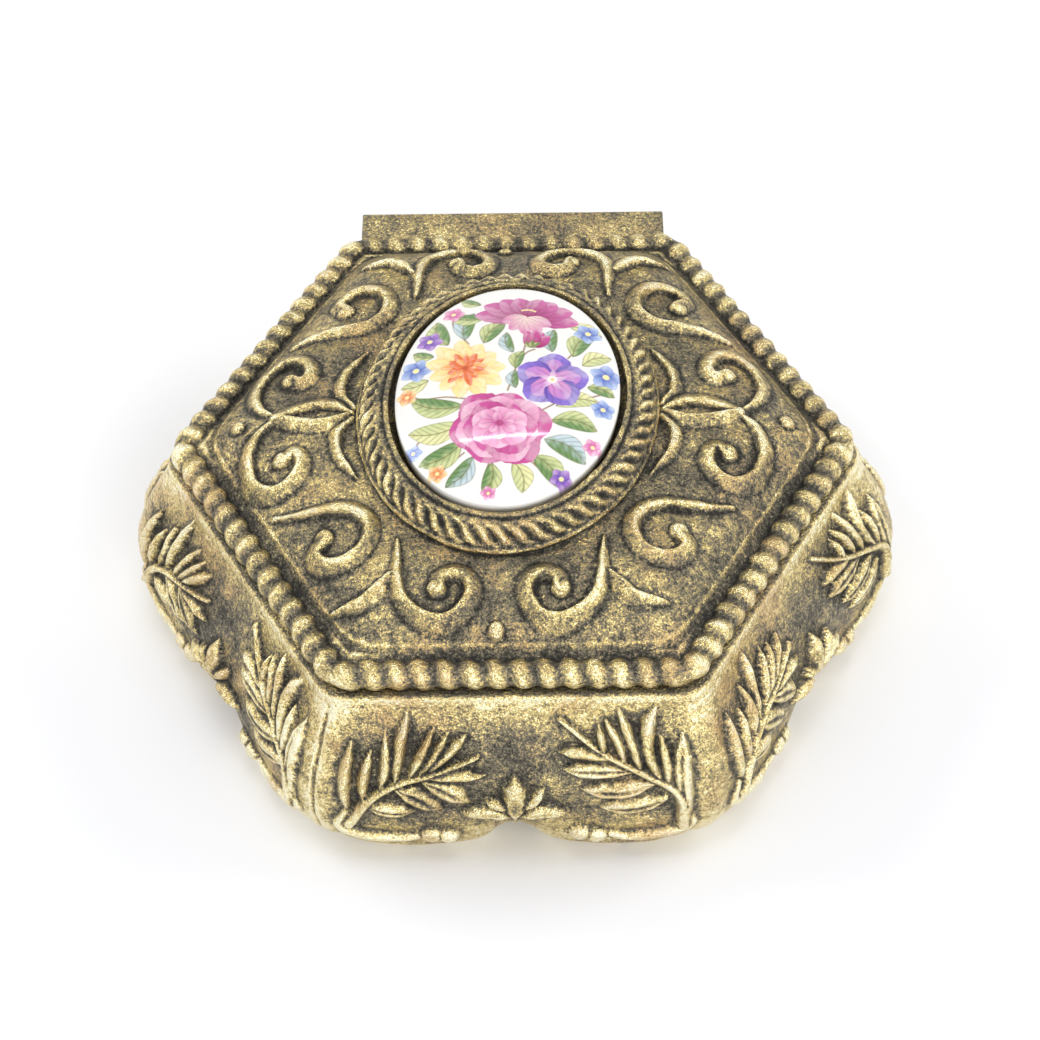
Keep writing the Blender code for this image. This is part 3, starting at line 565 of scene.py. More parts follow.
def new_material(name, roughness, metallic=0.0):
    made = bpy.data.materials.new(name)
    made.use_nodes = True
    nodes = Nodes(made.node_tree)
    nodes.shade({"Roughness": roughness, "Metallic": metallic})
    return made, nodes


GILT_STOPS = [
    (0.00, (0.016, 0.014, 0.011)), (0.18, (0.053, 0.047, 0.033)), (0.36, (0.141, 0.127, 0.094)),
    (0.52, (0.282, 0.241, 0.159)), (0.68, (0.576, 0.453, 0.194)), (0.84, (0.918, 0.741, 0.323)),
    (1.00, (1.000, 0.940, 0.660)),
]
COPPER = (0.59, 0.34, 0.165)


def casting_material():
    """Antiqued gilt: near black in the hollows, salt and pepper on open ground, bright on the crests from
    wear and a painted highlight.
    """
    made, nodes = new_material("antique_gilt", 0.42, 1.0)
    pepper = nodes.noise(4300, 2, 0.6)
    speck = nodes.noise(1900, 3, 0.7)
    tone = nodes.attribute("gilt_and_shade")[2]
    for layer, low, dark, light in ((pepper, 0.30, -0.22, 0.24), (speck, 0.30, -0.20, 0.24),
                                    (nodes.noise(240, 4, 0.6), 0.35, -0.13, 0.13),
                                    (nodes.noise(75, 2, 0.5), 0.35, -0.09, 0.07)):
        tone = nodes.math("ADD", tone, nodes.span(layer, low, 1 - low, dark, light))
    # Crests are lightened: rubbed wear on the raised relief, together with a painted highlight
    tone = nodes.math("ADD", tone, nodes.math("MULTIPLY", nodes.attribute("crest")[2], 0.42))
    depth = nodes.span(speck, 0.3, 0.7, 0.40, 0.18)
    tone = nodes.math("SUBTRACT", tone, nodes.math("MULTIPLY", nodes.attribute("hollow")[2], depth), True)
    ramp = nodes.add("ShaderNodeValToRGB", {"Fac": tone})
    stops = ramp.color_ramp.elements
    while len(stops) < len(GILT_STOPS):
        stops.new(0.5)
    for stop, (place, color) in zip(stops, GILT_STOPS):
        stop.position = place
        stop.color = (*color, 1.0)
    copper = nodes.span(nodes.noise(110, 3, 0.6), 0.50, 0.66, 0.0, 0.42)
    warm = nodes.mix(copper, ramp.outputs[0], COPPER)
    nodes.shade({
        "Base Color": nodes.mix(nodes.span(tone, 0.40, 0.75), ramp.outputs[0], warm),
        "Metallic": nodes.span(tone, 0.15, 0.55, 0.35, 1.0),
        "Roughness": nodes.span(tone, 0.2, 0.8, 0.54, 0.21),
        "Normal": nodes.bump(pepper, 0.8, 0.00014, nodes.bump(speck, 0.9, 0.00036)),
    })
    return made


def porcelain_material():
    """White glazed porcelain with its painted flowers under the glaze."""
    made, nodes = new_material("painted_porcelain", 0.16)
    cloud = nodes.noise(300, 2, 0.5)
    value = nodes.span(cloud, 0.3, 0.7, 1.06, 1.12)
    paint = nodes.add("ShaderNodeHueSaturation", {"Color": nodes.attribute("paint")[0], "Value": value})
    nodes.shade({"Base Color": paint.outputs[0], "Coat Weight": 0.6, "Coat Roughness": 0.04,
                 "Normal": nodes.bump(cloud, 0.12, 0.0001)})
    return made


def steel_material():
    made, nodes = new_material("drawn_steel", 0.35, 1.0)
    streak = nodes.noise(900, 3, 0.6)
    tone = nodes.span(streak, 0.3, 0.7)
    nodes.shade({"Base Color": nodes.mix(tone, (0.25, 0.22, 0.18), (0.48, 0.44, 0.38)),
                 "Roughness": nodes.span(streak, 0.3, 0.7, 0.3, 0.5),
                 "Normal": nodes.bump(streak, 0.3, 0.00005)})
    return made


def card_material():
    made, nodes = new_material("grey_board", 0.85)
    pulp = nodes.noise(1200, 5, 0.7)
    tone = nodes.span(pulp, 0.3, 0.7)
    nodes.shade({"Base Color": nodes.mix(tone, (0.27, 0.22, 0.16), (0.42, 0.36, 0.28)),
                 "Normal": nodes.bump(pulp, 0.4, 0.0001)})
    return made


def velvet_material():
    """Deep red velvet: a dense pile that brushes lighter and darker, with a soft sheen."""
    made, nodes = new_material("red_velvet", 0.95)
    pile = nodes.noise(5200, 2, 0.6)
    brushed = nodes.span(nodes.noise(140, 3, 0.5), 0.35, 0.65)
    shade = nodes.mix(brushed, (0.150, 0.010, 0.018), (0.270, 0.022, 0.034))
    nodes.shade({"Base Color": nodes.mix(nodes.span(pile, 0.3, 0.75, 0.0, 0.6), shade, (0.070, 0.004, 0.008)),
                 "Sheen Weight": 0.6, "Sheen Roughness": 0.35, "Sheen Tint": (0.95, 0.45, 0.45),
                 "Normal": nodes.bump(pile, 0.7, 0.00012)})
    return made


def dress(piece, material, body, slot, *nodes):
    """Give a piece its material and its body, and hide the solid nodes that it stands for. The slot argument
    is not used.
    """
    piece.data.materials.clear()
    piece.data.materials.append(material)
    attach(piece, body)
    if nodes:
        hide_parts(*nodes)
    return piece


# Lid

def scroll_path(drawn, across, along):
    path = np.array(drawn) * MM
    path[:, 1] *= along
    path[:, 0] = path[:, 0] * across + SCROLL_SHIFT + SCROLL_SKEW * path[:, 1]
    return smooth_path(path)


def lid_relief(points):
    """Height of the scrolls, leaves and dots above the field, at points (count, 2)."""
    height = np.zeros(len(points))
    for across in (1, -1):
        for along in (1, -1):
            for drawn in SCROLLS:
                path = scroll_path(drawn, across, along)
                add_ridge(height, points, path, SCROLL_HALF_WIDTH, SCROLL_HEIGHT, SCROLL_TAPER, CREST_PLACE)
                add_ball(height, points, path[-1], BALL_RADIUS, 0.85)
            for drawn, wide, rise, taper in LEAF_FORMS:
                add_ridge(height, points, scroll_path(drawn, across, along), SCROLL_HALF_WIDTH * wide,
                          SCROLL_HEIGHT * rise, taper, CREST_PLACE)
    for x, y in DOTS:
        add_ball(height, points, (x * MM, y * MM), BALL_RADIUS * 0.8, 0.9)
    return height


def lid_rings():
    """Rings of the lid from its ceiling, over the rim, the rope, the field and the bezel, into the pocket."""
    columns = even_columns(LID_COLUMNS, LID_FLAT - ROPE_WIDTH / 2, LID_CORNER - ROPE_WIDTH / 2)
    around = np.arange(LID_COLUMNS) / LID_COLUMNS
    shares = oval_shares(LID_COLUMNS)
    rings, zones = [], []

    def add(ring, zone):
        rings.append(ring)
        zones.append(zone)

    def lid_ring(inset, height):
        return outline(columns, LID_FLAT - inset, LID_CORNER - inset, SEAM_HEIGHT + height)

    for past_rim in CEILING_INSETS:
        inset = LID_RIM_WIDTH + past_rim
        add(lid_ring(inset, dome(inset) - LID_SHELL), CEILING_GILT)
    for inset, zone in LID_EDGE_RINGS:
        add(lid_ring(inset, 0), zone)
    for row in range(ROPE_ROWS):
        part = row / (ROPE_ROWS - 1)
        angle = ROPE_START + ROPE_SWEEP * part
        lay = around * ROPE_STRANDS + ROPE_SLANT * row / ROPE_ROWS
        radius = ROPE_RADIUS * (1 - ROPE_DEPTH + ROPE_DEPTH * strand_profile(lay))
        ring = lid_ring(ROPE_INSET - radius * math.cos(angle), ROPE_CENTRE + radius * math.sin(angle))
        # The rope's first rows, turned under at the seam, take a dark value: painted shade
        add(ring, float(np.interp(part, *ROPE_GILT_AND_SHADE)))
    first = len(rings)
    border = lid_ring(ROPE_WIDTH, 0)
    foot = oval_points(shares, RING_OUTER, 0)
    for part in np.arange(FIELD_ROWS) / (FIELD_ROWS - 1):
        ring = border * (1 - part) + foot * part
        ring[:, 2] = field_height(ring)
        add(ring, FIELD_GILT)
    inner = POCKET_GAP + BEZEL_RIM
    foot_height = field_height(foot)
    for row in range(RING_ROWS):
        part = row / (RING_ROWS - 1)
        angle = RING_START + RING_SWEEP * part
        strand = strand_profile(around * RING_STRANDS + RING_LAY * part) - RING_LEVEL
        beaded = max(math.cos(math.pi * (part - RING_MIDDLE) / RING_MIDDLE), 0) ** 0.8
        line = RING_LINE * math.exp(-((part - RING_LINE_PLACE) / RING_LINE_REACH) ** 2)
        swell = RING_DEPTH * strand * beaded + line
        rise = foot_height + (BEZEL_TOP - RING_DROP - foot_height) * math.sin(angle)
        offset = inner + (RING_OUTER - inner) * math.cos(angle)
        add(oval_points(shares, offset + swell * math.cos(angle), rise + swell * math.sin(angle)), BAND_GILT)
    for offset, drop in BEZEL_RINGS:
        add(oval_points(shares, offset, BEZEL_TOP - drop), POCKET_GILT)
    return np.array(rings), np.array(zones), first


def cavities(points, normals):
    """Crest and hollow, 0 to 1, from how far each point stands out of its smoothed neighbourhood."""
    crest = np.zeros(points.shape[:2])
    hollow = np.zeros(points.shape[:2])
    for times, reach in CAVITIES:
        around = np.stack([blur(points[..., axis], times) for axis in range(3)], -1)
        away = np.sum((points - around) * normals, -1)
        crest = np.maximum(crest, unit(away / reach))
        hollow = np.maximum(hollow, unit(-away / reach))
    return crest, hollow


def make_lid(material):
    points, zones, first = lid_rings()
    field = points[first:first + FIELD_ROWS]
    relief = lid_relief(field[..., :2].reshape(-1, 2)).reshape(field.shape[:2])
    field[..., 2] += relief * edge_fade(FIELD_ROWS)
    normals = grid_normals(points)
    points = points + normals * roughness(points, LID_GRAIN)[..., None]
    crest, hollow = cavities(points, normals)
    # Crest lightening is damped on the underside and the seam rows, which keeps the seam dark as painted
    # shade
    crest[:UNDERSIDE_ROWS] *= UNDERSIDE_CREST
    crest[-BEZEL_ROWS:] *= BEZEL_CREST
    hollow[:first + GROOVE_ROWS] *= ROPE_HOLLOW
    hollow[first + GROOVE_ROWS:] *= FIELD_HOLLOW
    gilt_and_shade = np.repeat(zones[:, None], LID_COLUMNS, 1)
    lid = closed_mesh("lid_relief_casting", points, {"gilt_and_shade": gilt_and_shade, "crest": crest, "hollow": hollow})
    return dress(lid, material, "lid", "casting", "lid_casting")


# Base

def wall_offset(height):
    height = np.asarray(height, float)
    under = BULGE - CURL * (1 - np.sqrt(unit(1 - (1 - height / BULGE_HEIGHT) ** 2)))
    rise = unit((RIM_HEIGHT - height) / (RIM_HEIGHT - BULGE_HEIGHT))
    return np.where(height < BULGE_HEIGHT, under, BULGE * np.sin(math.pi / 2 * rise) ** BULGE_EASE)


def wall_reach(height):
    """Distance down the wall from the rim to a height, along its curve."""
    fine = np.linspace(0, RIM_HEIGHT, 400)
    steps = np.hypot(np.diff(fine), np.diff(wall_offset(fine)))
    reach = np.concatenate([[0], np.cumsum(steps)])
    return reach[-1] - np.interp(height, fine, reach)


def foot_lobe(share, height):
    """How far the foot swells out further, between each notch and the corners beside it."""
    half = half_side(BASE_FLAT, BASE_CORNER)
    inner = NOTCH_HALF / 2
    part = unit((np.abs(share) * half - inner) / (half - inner))
    fade = unit(1 - height / BULGE_HEIGHT)
    return LOBE * np.sin(math.pi * part) ** 0.6 * fade ** LOBE_FADE


def notch_lift(share, height):
    """How far the low parts of the wall rise over the notch in the middle of each side's foot."""
    reach = unit(np.abs(share) * half_side(BASE_FLAT, BASE_CORNER) / NOTCH_HALF)
    fade = unit(1 - height / BULGE_HEIGHT)
    return NOTCH_HEIGHT * np.cos(math.pi / 2 * reach) ** 2 * fade


def face_relief(along, down):
    """Height of the leaves, balls and bud above the wall, from the place along a side and down its curve."""
    points = np.stack([along, down], 1)
    height = np.zeros(len(points))

    def add_blade(drawn, reach, rise, taper, groove=0.0):
        path = smooth_path(np.reshape(drawn, (-1, 2)) * MM, 6)
        path = np.stack([path[:, 0] + SPRAY_SHIFT, wall_reach(path[:, 1])], 1)
        add_ridge(height, points, path, reach, rise, taper, groove=groove)

    for drawn in LIPS:
        add_blade(drawn, LIP_HALF_WIDTH, LIP_RISE, LIP_TAPER)
    for stem, *blades in (LEFT_SPRAY, RIGHT_SPRAY):
        for wide, *drawn in blades:
            add_blade(drawn, wide * MM, BLADE_RISE, BLADE_TAPER, LEAF_GROOVE if wide > BROAD_BLADE else 0.0)
        add_blade(stem[1:], stem[0] * MM, STEM_RISE, STEM_TAPER)
    for wide, *drawn in BUD:
        add_blade(drawn, wide * MM, BUD_RISE, BLADE_TAPER)
    for x, z in FACE_BALLS:
        add_ball(height, points, (x * MM + SPRAY_SHIFT, wall_reach(z * MM)), FACE_BALL, sink=FACE_BALL_SINK)
    return height


def base_rings():
    """Rings of the base from its floor up the inside, over the rim, down the wall and in under the foot."""
    columns = even_columns(BASE_COLUMNS, BASE_FLAT + BULGE / 2, BASE_CORNER)
    share = columns[1]
    rings, zones = [], []

    def base_ring(outset, height, zone):
        rings.append(outline(columns, BASE_FLAT + outset, BASE_CORNER + min(outset, 0), height))
        zones.append(zone)

    def wall_ring(height, zone, inset=0.0):
        flat = BASE_FLAT + wall_offset(height) + foot_lobe(share, height) - inset
        rings.append(outline(columns, flat, BASE_CORNER, height + notch_lift(share, height)))
        zones.append(zone)

    lip = RIM_HEIGHT - RIM_DEPTH
    shoulder = lip - RIM_WIDTH / 2
    for height in np.linspace(FLOOR_HEIGHT, shoulder, 5):
        base_ring(float(wall_offset(height)) - BASE_WALL, height, INSIDE_GILT)
    base_ring(-RIM_WIDTH, lip, LEDGE_GILT)
    for outset, drop, zone in BASE_RIM_RINGS:
        base_ring(outset, RIM_HEIGHT - drop, zone)
    first = len(rings)
    reach = np.linspace(float(wall_reach(WALL_TOP)), float(wall_reach(0)), WALL_ROWS)
    fine = np.linspace(0, RIM_HEIGHT, 800)
    for height in np.interp(-reach, -wall_reach(fine), fine):
        wall_ring(height, float(np.interp(height, *WALL_GILT)))
    count = len(rings) - first
    wall_ring(0, FOOT_GILT, FOOT_RING / 2)
    wall_ring(0, FOOT_GILT, FOOT_RING)
    recess = BASE_FLAT + float(wall_offset(0)) - FOOT_RING
    rings.append(outline(columns, recess, BASE_CORNER, RECESS_HEIGHT))
    zones.append(RECESS_GILT)
    return np.array(rings), np.array(zones), columns, first, count


def make_base(material):
    points, zones, columns, first, count = base_rings()
    normal, share, turn = columns
    along = share * half_side(BASE_FLAT + BULGE / 2, BASE_CORNER) + turn * BASE_CORNER
    normals = -grid_normals(points)
    rows = slice(first, first + count)
    wall = points[rows].copy()
    down = wall_reach(wall[..., 2])
    side = np.broadcast_to(along, down.shape)
    relief = face_relief(side.ravel(), down.ravel()).reshape(down.shape)
    at_hinge = np.abs(normal - (HINGE_SIDE * 2 * math.pi / SIDES - math.pi / 2)) < 0.1
    relief = np.where(at_hinge & (wall[..., 2] > HINGE_LEAF_TOP), 0, relief) * edge_fade(count)
    relief[:, 0] -= PARTING_LINE
    relief[:, [1, -1]] -= PARTING_LINE * 0.4
    rough = roughness(points, BASE_GRAIN)
    rough[:first] *= INSIDE_WEAR
    rough[first + count:] = 0
    points = points + normals * rough[..., None]
    points[rows] += normals[rows] * relief[..., None]
    points[..., 2] = np.maximum(points[..., 2], 0)
    for axis in (0, 1):
        points[..., axis] = np.clip(points[..., axis], cad_low[axis], cad_high[axis])
    crest, hollow = cavities(points, normals)
    crest[:first] *= INSIDE_WEAR
    hollow *= BASE_HOLLOW
    gilt_and_shade = np.repeat(zones[:, None], BASE_COLUMNS, 1)
    gilt_and_shade[rows] += CORNER_GILT * unit((np.abs(share) - 1) / CORNER_SPAN + 1)
    gilt_and_shade[rows] -= np.interp(wall[..., 2], *MIDDLE_SHADE) * np.exp(-(share / MIDDLE_SPAN) ** 2)
    base = closed_mesh("base_relief_casting", points, {"gilt_and_shade": gilt_and_shade, "crest": crest, "hollow": hollow})
    return dress(base, material, "base", "casting", "base_casting")


# Hinge

def arc_points(centre, radius, start, stop, steps):
    turns = [start + (stop - start) * step / steps for step in range(steps + 1)]
    return [(centre[0] + radius * math.cos(turn), centre[1] + radius * math.sin(turn)) for turn in turns]


def ordered_faces(bm):
    """Faces as vertex numbers in a fixed order, since bevel returns them in another one at each run."""
    bm.verts.index_update()
    faces = []
    for face in bm.faces:
        around = [vert.index for vert in face.verts]
        first = around.index(min(around))
        faces.append(around[first:] + around[:first])
    return sorted(faces)


def prism(name, drawn, start, stop, material, body, gilt_and_shade=HINGE_GILT):
    """A softened bar along X, from an outline of (y, z) pairs, with the casting's attributes."""
    bm = bmesh.new()
    face = bm.faces.new([bm.verts.new((start, y, z)) for y, z in drawn])
    grown = bmesh.ops.extrude_face_region(bm, geom=[face])["geom"]
    moved = [item for item in grown if isinstance(item, bmesh.types.BMVert)]
    bmesh.ops.translate(bm, verts=moved, vec=(stop - start, 0, 0))
    bmesh.ops.recalc_face_normals(bm, faces=bm.faces)
    sharp = [edge for edge in bm.edges if edge.calc_face_angle(0) > SHARP_EDGE]
    bmesh.ops.bevel(bm, geom=sharp, offset=SOFT_EDGE, segments=2, profile=0.5, affect="EDGES")
    mesh = bpy.data.meshes.new(name)
    mesh.from_pydata([vert.co[:] for vert in bm.verts], [], ordered_faces(bm))
    bm.free()
    for key, value in (("gilt_and_shade", gilt_and_shade), ("crest", 0.0), ("hollow", 0.0)):
        values = np.full(len(mesh.vertices), value, np.float32)
        mesh.attributes.new(key, "FLOAT", "POINT").data.foreach_set("value", values)
    return dress(smooth_object(name, mesh), material, body, "casting")


def make_hinge(material):
    """Bar and knuckles on the lid, and the lugs of the base that they turn between."""
    rear = PIN_Y + KNUCKLE_RADIUS + BAR_REAR
    corner = arc_points((rear - BAR_ROUND, BAR_TOP - BAR_ROUND), BAR_ROUND, 0, math.pi / 2, 5)
    bar = [(LID_FLAT - BAR_ROOT, BAR_UNDER), (rear, BAR_UNDER)] + corner + [(LID_FLAT - BAR_ROOT, BAR_TOP)]
    end = HINGE_HALF_LENGTH
    reach = end + PIN_END + BAR_END
    prism("hinge_bar", bar, -reach, reach, material, "lid", HINGE_BAR_GILT)
    arc = arc_points((PIN_Y, PIN_Z), KNUCKLE_RADIUS, -math.pi, 0, 20)
    neck = (BAR_UNDER + BAR_TOP) / 2
    knuckle = [(arc[0][0], neck)] + arc + [(arc[-1][0], neck)]
    near, far = MIDDLE_LUG / 2 + KNUCKLE_GAP, end - END_LUG - KNUCKLE_GAP
    prism("knuckle_right", knuckle, near, far, material, "lid")
    prism("knuckle_left", knuckle, -far, -near, material, "lid")
    arc = arc_points((PIN_Y, PIN_Z), KNUCKLE_RADIUS, LUG_TURN, -OPEN_LEAN, 16)
    heel = (arc[-1][0] - LUG_FACE * math.sin(OPEN_LEAN), arc[-1][1] - LUG_FACE * math.cos(OPEN_LEAN))
    inside = BASE_FLAT - RIM_WIDTH / 2
    lug = [(inside, PIN_Z + KNUCKLE_RADIUS / 2)] + arc + [heel, (inside, PIN_Z - LUG_REACH)]
    prism("lug_middle", lug, -MIDDLE_LUG / 2, MIDDLE_LUG / 2, material, "base")
    prism("lug_right", lug, end - END_LUG, end, material, "base")
    prism("lug_left", lug, -end, END_LUG - end, material, "base")


# Porcelain

GLAZE_WHITE = (0.80, 0.79, 0.76)
EDGE_BLUR = 0.09


class Painting:
    """Colours at places of the oval, in millimetres, painted over one another."""

    def __init__(self, x, y):
        self.x, self.y = x, y
        self.color = np.empty((len(x), 3))
        self.color[:] = GLAZE_WHITE
        self.waver = 0.5 + 0.5 * np.sin(2.9 * x + 1.3 * y) * np.sin(2.3 * y - 1.7 * x)

    def lay(self, inside, color, strength=1.0):
        """Blend a colour in where inside, a distance in millimetres, is above zero."""
        mask = unit(inside / EDGE_BLUR + 0.5) * strength
        self.color += (np.asarray(color) - self.color) * np.reshape(mask, (-1, 1))

    def local(self, cx, cy, angle):
        """Places seen from a point, along and across a direction."""
        dx, dy = self.x - cx, self.y - cy
        return dx * math.cos(angle) + dy * math.sin(angle), dy * math.cos(angle) - dx * math.sin(angle)

    def petal(self, cx, cy, angle, length, width, root, tip, veins=0.0, round_=0.75):
        """A rounded petal from a point outwards, washed from root to tip, with darker strokes and outline."""
        along, across = self.local(cx, cy, angle)
        share = unit(along / length)
        half = width * np.sin(math.pi * share ** round_) ** 0.6 * (0.94 + 0.12 * self.waver)
        inside = np.where((along > 0) & (along < length), half - np.abs(across), -1)
        blend = share[:, None] ** 1.1
        color = np.asarray(root) * (1 - blend) + np.asarray(tip) * blend
        light = unit(np.sin((across / np.maximum(half, 0.1)) * 1.9 + 1.2 * self.waver)) * share
        color = color + (np.asarray(GLAZE_WHITE) - color) * (0.30 * light)[:, None]
        fan = unit(np.cos(across / (0.14 + 0.34 * share) * 2.6 + 1.5 * self.waver)) ** 2
        color = color * (1 - veins * fan * (1.05 - share))[:, None]
        edge = unit(1 - inside / 0.16)[:, None] * (0.30 + 0.35 * self.waver)[:, None]
        self.lay(inside, color * (1 - edge) + np.asarray(root) * edge * 0.8)

    def leaf(self, cx, cy, angle, length, width, light, dark):
        """A pointed leaf washed from one half to the other, with a drawn outline, midrib and side veins."""
        along, across = self.local(cx, cy, math.radians(angle))
        share = along / length
        half = width * unit(1 - (2 * share - 1) ** 2) ** 0.85
        across = across - 0.14 * length * np.sin(math.pi * unit(share))
        inside = np.where((along > 0) & (along < length), half - np.abs(across), -1)
        wash = unit(0.5 + across / width + 0.5 * (self.waver - 0.5))[:, None]
        color = np.asarray(light) * wash + np.asarray(dark) * (1 - wash)
        ribs = unit(np.cos((along - np.abs(across) * 1.2) * 6.0)) ** 3
        color = color * (1 - 0.40 * ribs)[:, None]
        edge = unit(1 - inside / 0.17)[:, None] * 0.75
        self.lay(inside, color * (1 - edge) + np.asarray(VEIN) * edge)
        self.lay(np.where(inside > 0, 0.08 - np.abs(across), -1), VEIN, 0.8)

    def stem(self, points, width, color):
        path = smooth_path(points, 8)
        distance, _, _ = along_path(np.stack([self.x, self.y], 1), path)
        self.lay(width - distance, color, 0.85)

    def dot(self, cx, cy, radius, color, strength=1.0):
        self.lay(radius - np.hypot(self.x - cx, self.y - cy), color, strength)


ROSE_DEEP, ROSE, ROSE_PALE = (0.34, 0.012, 0.130), (0.56, 0.080, 0.300), (0.80, 0.40, 0.58)
PLUM, PLUM_PALE = (0.30, 0.012, 0.120), (0.58, 0.13, 0.36)
ORANGE, AMBER, LEMON = (0.74, 0.15, 0.035), (0.86, 0.50, 0.16), (0.90, 0.76, 0.36)
VIOLET, LILAC = (0.12, 0.060, 0.400), (0.46, 0.22, 0.58)
BLUE, SKY = (0.060, 0.120, 0.480), (0.44, 0.56, 0.80)
LEAF_LIGHT, LEAF_DARK = (0.58, 0.62, 0.30), (0.15, 0.27, 0.095)
LEAF_YELLOW, LEAF_BLUE = (0.74, 0.72, 0.38), (0.52, 0.62, 0.66)
VEIN = (0.16, 0.13, 0.035)
TWIG = (0.24, 0.115, 0.035)

LEAVES = [
    (-5.4, -4.6, 170, 7.4, 1.7), (-5.2, -7.6, 192, 7.2, 1.8), (-4.8, -10.6, 214, 6.6, 1.7),
    (-3.2, -13.0, 236, 5.6, 1.4), (-0.6, -13.8, 262, 4.8, 1.3), (2.2, -13.4, 290, 4.8, 1.4),
    (4.6, -12.0, 312, 5.8, 1.6), (5.8, -9.2, 334, 6.4, 1.8), (6.4, -6.0, 356, 6.2, 1.6),
    (6.8, -3.4, 18, 6.0, 1.4), (-8.8, 6.8, 112, 5.6, 1.6), (-6.6, 7.8, 84, 5.8, 1.5),
    (-4.0, 7.2, 60, 5.0, 1.4), (-10.6, 0.2, 196, 3.8, 1.2), (-10.4, 4.6, 160, 3.2, 1.0),
    (0.2, 5.6, 108, 4.2, 1.0), (8.2, 6.0, 66, 5.6, 1.5), (9.6, 4.6, 36, 4.6, 1.3),
    (10.6, 0.8, 350, 3.8, 1.2), (5.4, 6.4, 92, 4.6, 1.2), (-4.4, 12.4, 172, 5.0, 1.2),
    (7.2, 12.0, 350, 4.6, 1.2), (0.8, 2.6, 78, 3.6, 1.0), (1.2, -1.0, 96, 3.4, 0.9),
    (-5.2, 15.4, 150, 3.4, 0.9),
]
STEMS = [
    [(0.2, -1.5), (0.8, 2.5), (1.6, 6.5), (1.6, 10.5)],
    [(-4.0, -3.5), (-7.8, -3.0), (-11.2, -3.2), (-13.6, -1.8)],
    [(5.0, -4.5), (8.4, -1.6), (11.0, -1.0), (13.4, 0.6)],
    [(-6.0, 7.0), (-8.4, 10.4), (-8.8, 13.6)],
    [(1.0, 4.0), (2.0, 5.8), (3.0, 6.6)],
    [(7.6, 5.6), (9.0, 8.4), (9.4, 11.4)],
    [(-4.4, -12.4), (-6.4, -14.6), (-7.6, -15.8)],
    [(4.4, -13.0), (6.4, -14.6), (8.2, -15.4)],
    [(8.4, -8.6), (10.8, -9.6), (12.4, -8.6)],
    [(-1.0, -14.0), (-1.4, -16.6), (-0.6, -18.4)],
    [(-9.0, -8.8), (-10.8, -10.8), (-11.2, -12.6)],
]
SMALL_BLOOMS = [
    (-12.6, 2.2, 2.2, BLUE, SKY), (-11.4, 7.8, 1.9, VIOLET, LILAC), (12.9, 3.4, 2.3, BLUE, SKY),
    (9.8, 11.2, 2.0, BLUE, SKY), (13.0, -2.6, 1.7, BLUE, SKY), (-8.8, 13.4, 1.6, ROSE, ROSE_PALE),
    (-7.6, -15.6, 1.4, ORANGE, LEMON), (8.6, -15.0, 1.6, VIOLET, LILAC), (-13.2, -2.6, 1.5, ORANGE, LEMON),
    (12.2, -9.2, 1.4, ROSE, ROSE_PALE), (-11.2, -12.2, 1.3, BLUE, SKY), (-0.6, -18.4, 1.1, ROSE, ROSE_PALE),
]


def paint_bouquet(x, y):
    """Colours of a loose bouquet at places in millimetres from the middle of the oval."""
    art = Painting(x, y)
    for points in STEMS:
        art.stem(points, 0.13, TWIG)
    for number, (cx, cy, angle, length, width) in enumerate(LEAVES):
        light = (LEAF_LIGHT, LEAF_YELLOW, LEAF_LIGHT, LEAF_BLUE)[number % 4]
        dark = (LEAF_DARK, LEAF_LIGHT, LEAF_DARK, LEAF_DARK)[number % 4]
        art.leaf(cx, cy, angle, length, width, light, dark)
    for cx, cy, radius, root, tip in SMALL_BLOOMS:
        for number in range(5):
            art.petal(cx, cy, 2 * math.pi * number / 5 + cx, radius, radius * 0.46, root, tip, 0.3)
        art.dot(cx, cy, radius * 0.2, LEMON)
    paint_daisy(art, -5.9, 2.3)
    paint_bell(art, 1.4, 13.0)
    paint_bud(art, 2.7, 8.0)
    paint_pansy(art, 5.9, 1.2)
    paint_rose(art, -0.3, -7.9)
    return art.color


def paint_daisy(art, cx, cy):
    """Yellow flower with ragged pale petals round a heart of orange strokes."""
    for count, reach, width, turn in ((11, 5.9, 1.35, 0.1), (10, 4.7, 1.25, 0.4)):
        for number in range(count):
            angle = 2 * math.pi * number / count + turn
            length = reach * (0.92 + 0.10 * math.sin(5.1 * number))
            art.petal(cx, cy, angle, length, width, AMBER, LEMON, 0.4, 1.1)
    for count, reach, width, turn in ((13, 3.4, 0.55, 0.2), (11, 2.6, 0.5, 0.5), (9, 1.7, 0.42, 0.1)):
        for number in range(count):
            angle = 2 * math.pi * number / count + turn
            length = reach * (0.88 + 0.14 * math.sin(3.3 * number))
            art.petal(cx, cy, angle, length, width, ORANGE, AMBER if number % 3 == 0 else ORANGE, 0.3, 1.1)
    art.dot(cx, cy, 0.45, (0.50, 0.09, 0.03))


def paint_pansy(art, cx, cy):
    """Violet flower of five round petals, pink towards the pale eye."""
    for number in (0, 1, 4, 2, 3):
        angle = 2 * math.pi * number / 5 + math.radians(90)
        art.petal(cx, cy, angle, 5.0, 2.45, VIOLET, (0.26, 0.17, 0.60), 0.6, 1.0)
        art.petal(cx, cy, angle, 3.9, 1.5, (0.62, 0.22, 0.50), LILAC, 0.5, 1.0)
    for number in range(5):
        angle = 2 * math.pi * number / 5 + math.radians(90)
        art.petal(cx, cy, angle, 1.9, 0.42, (0.84, 0.62, 0.72), (0.42, 0.16, 0.50))
    art.dot(cx, cy, 0.62, (0.86, 0.82, 0.74))
    art.dot(cx, cy, 0.26, AMBER)


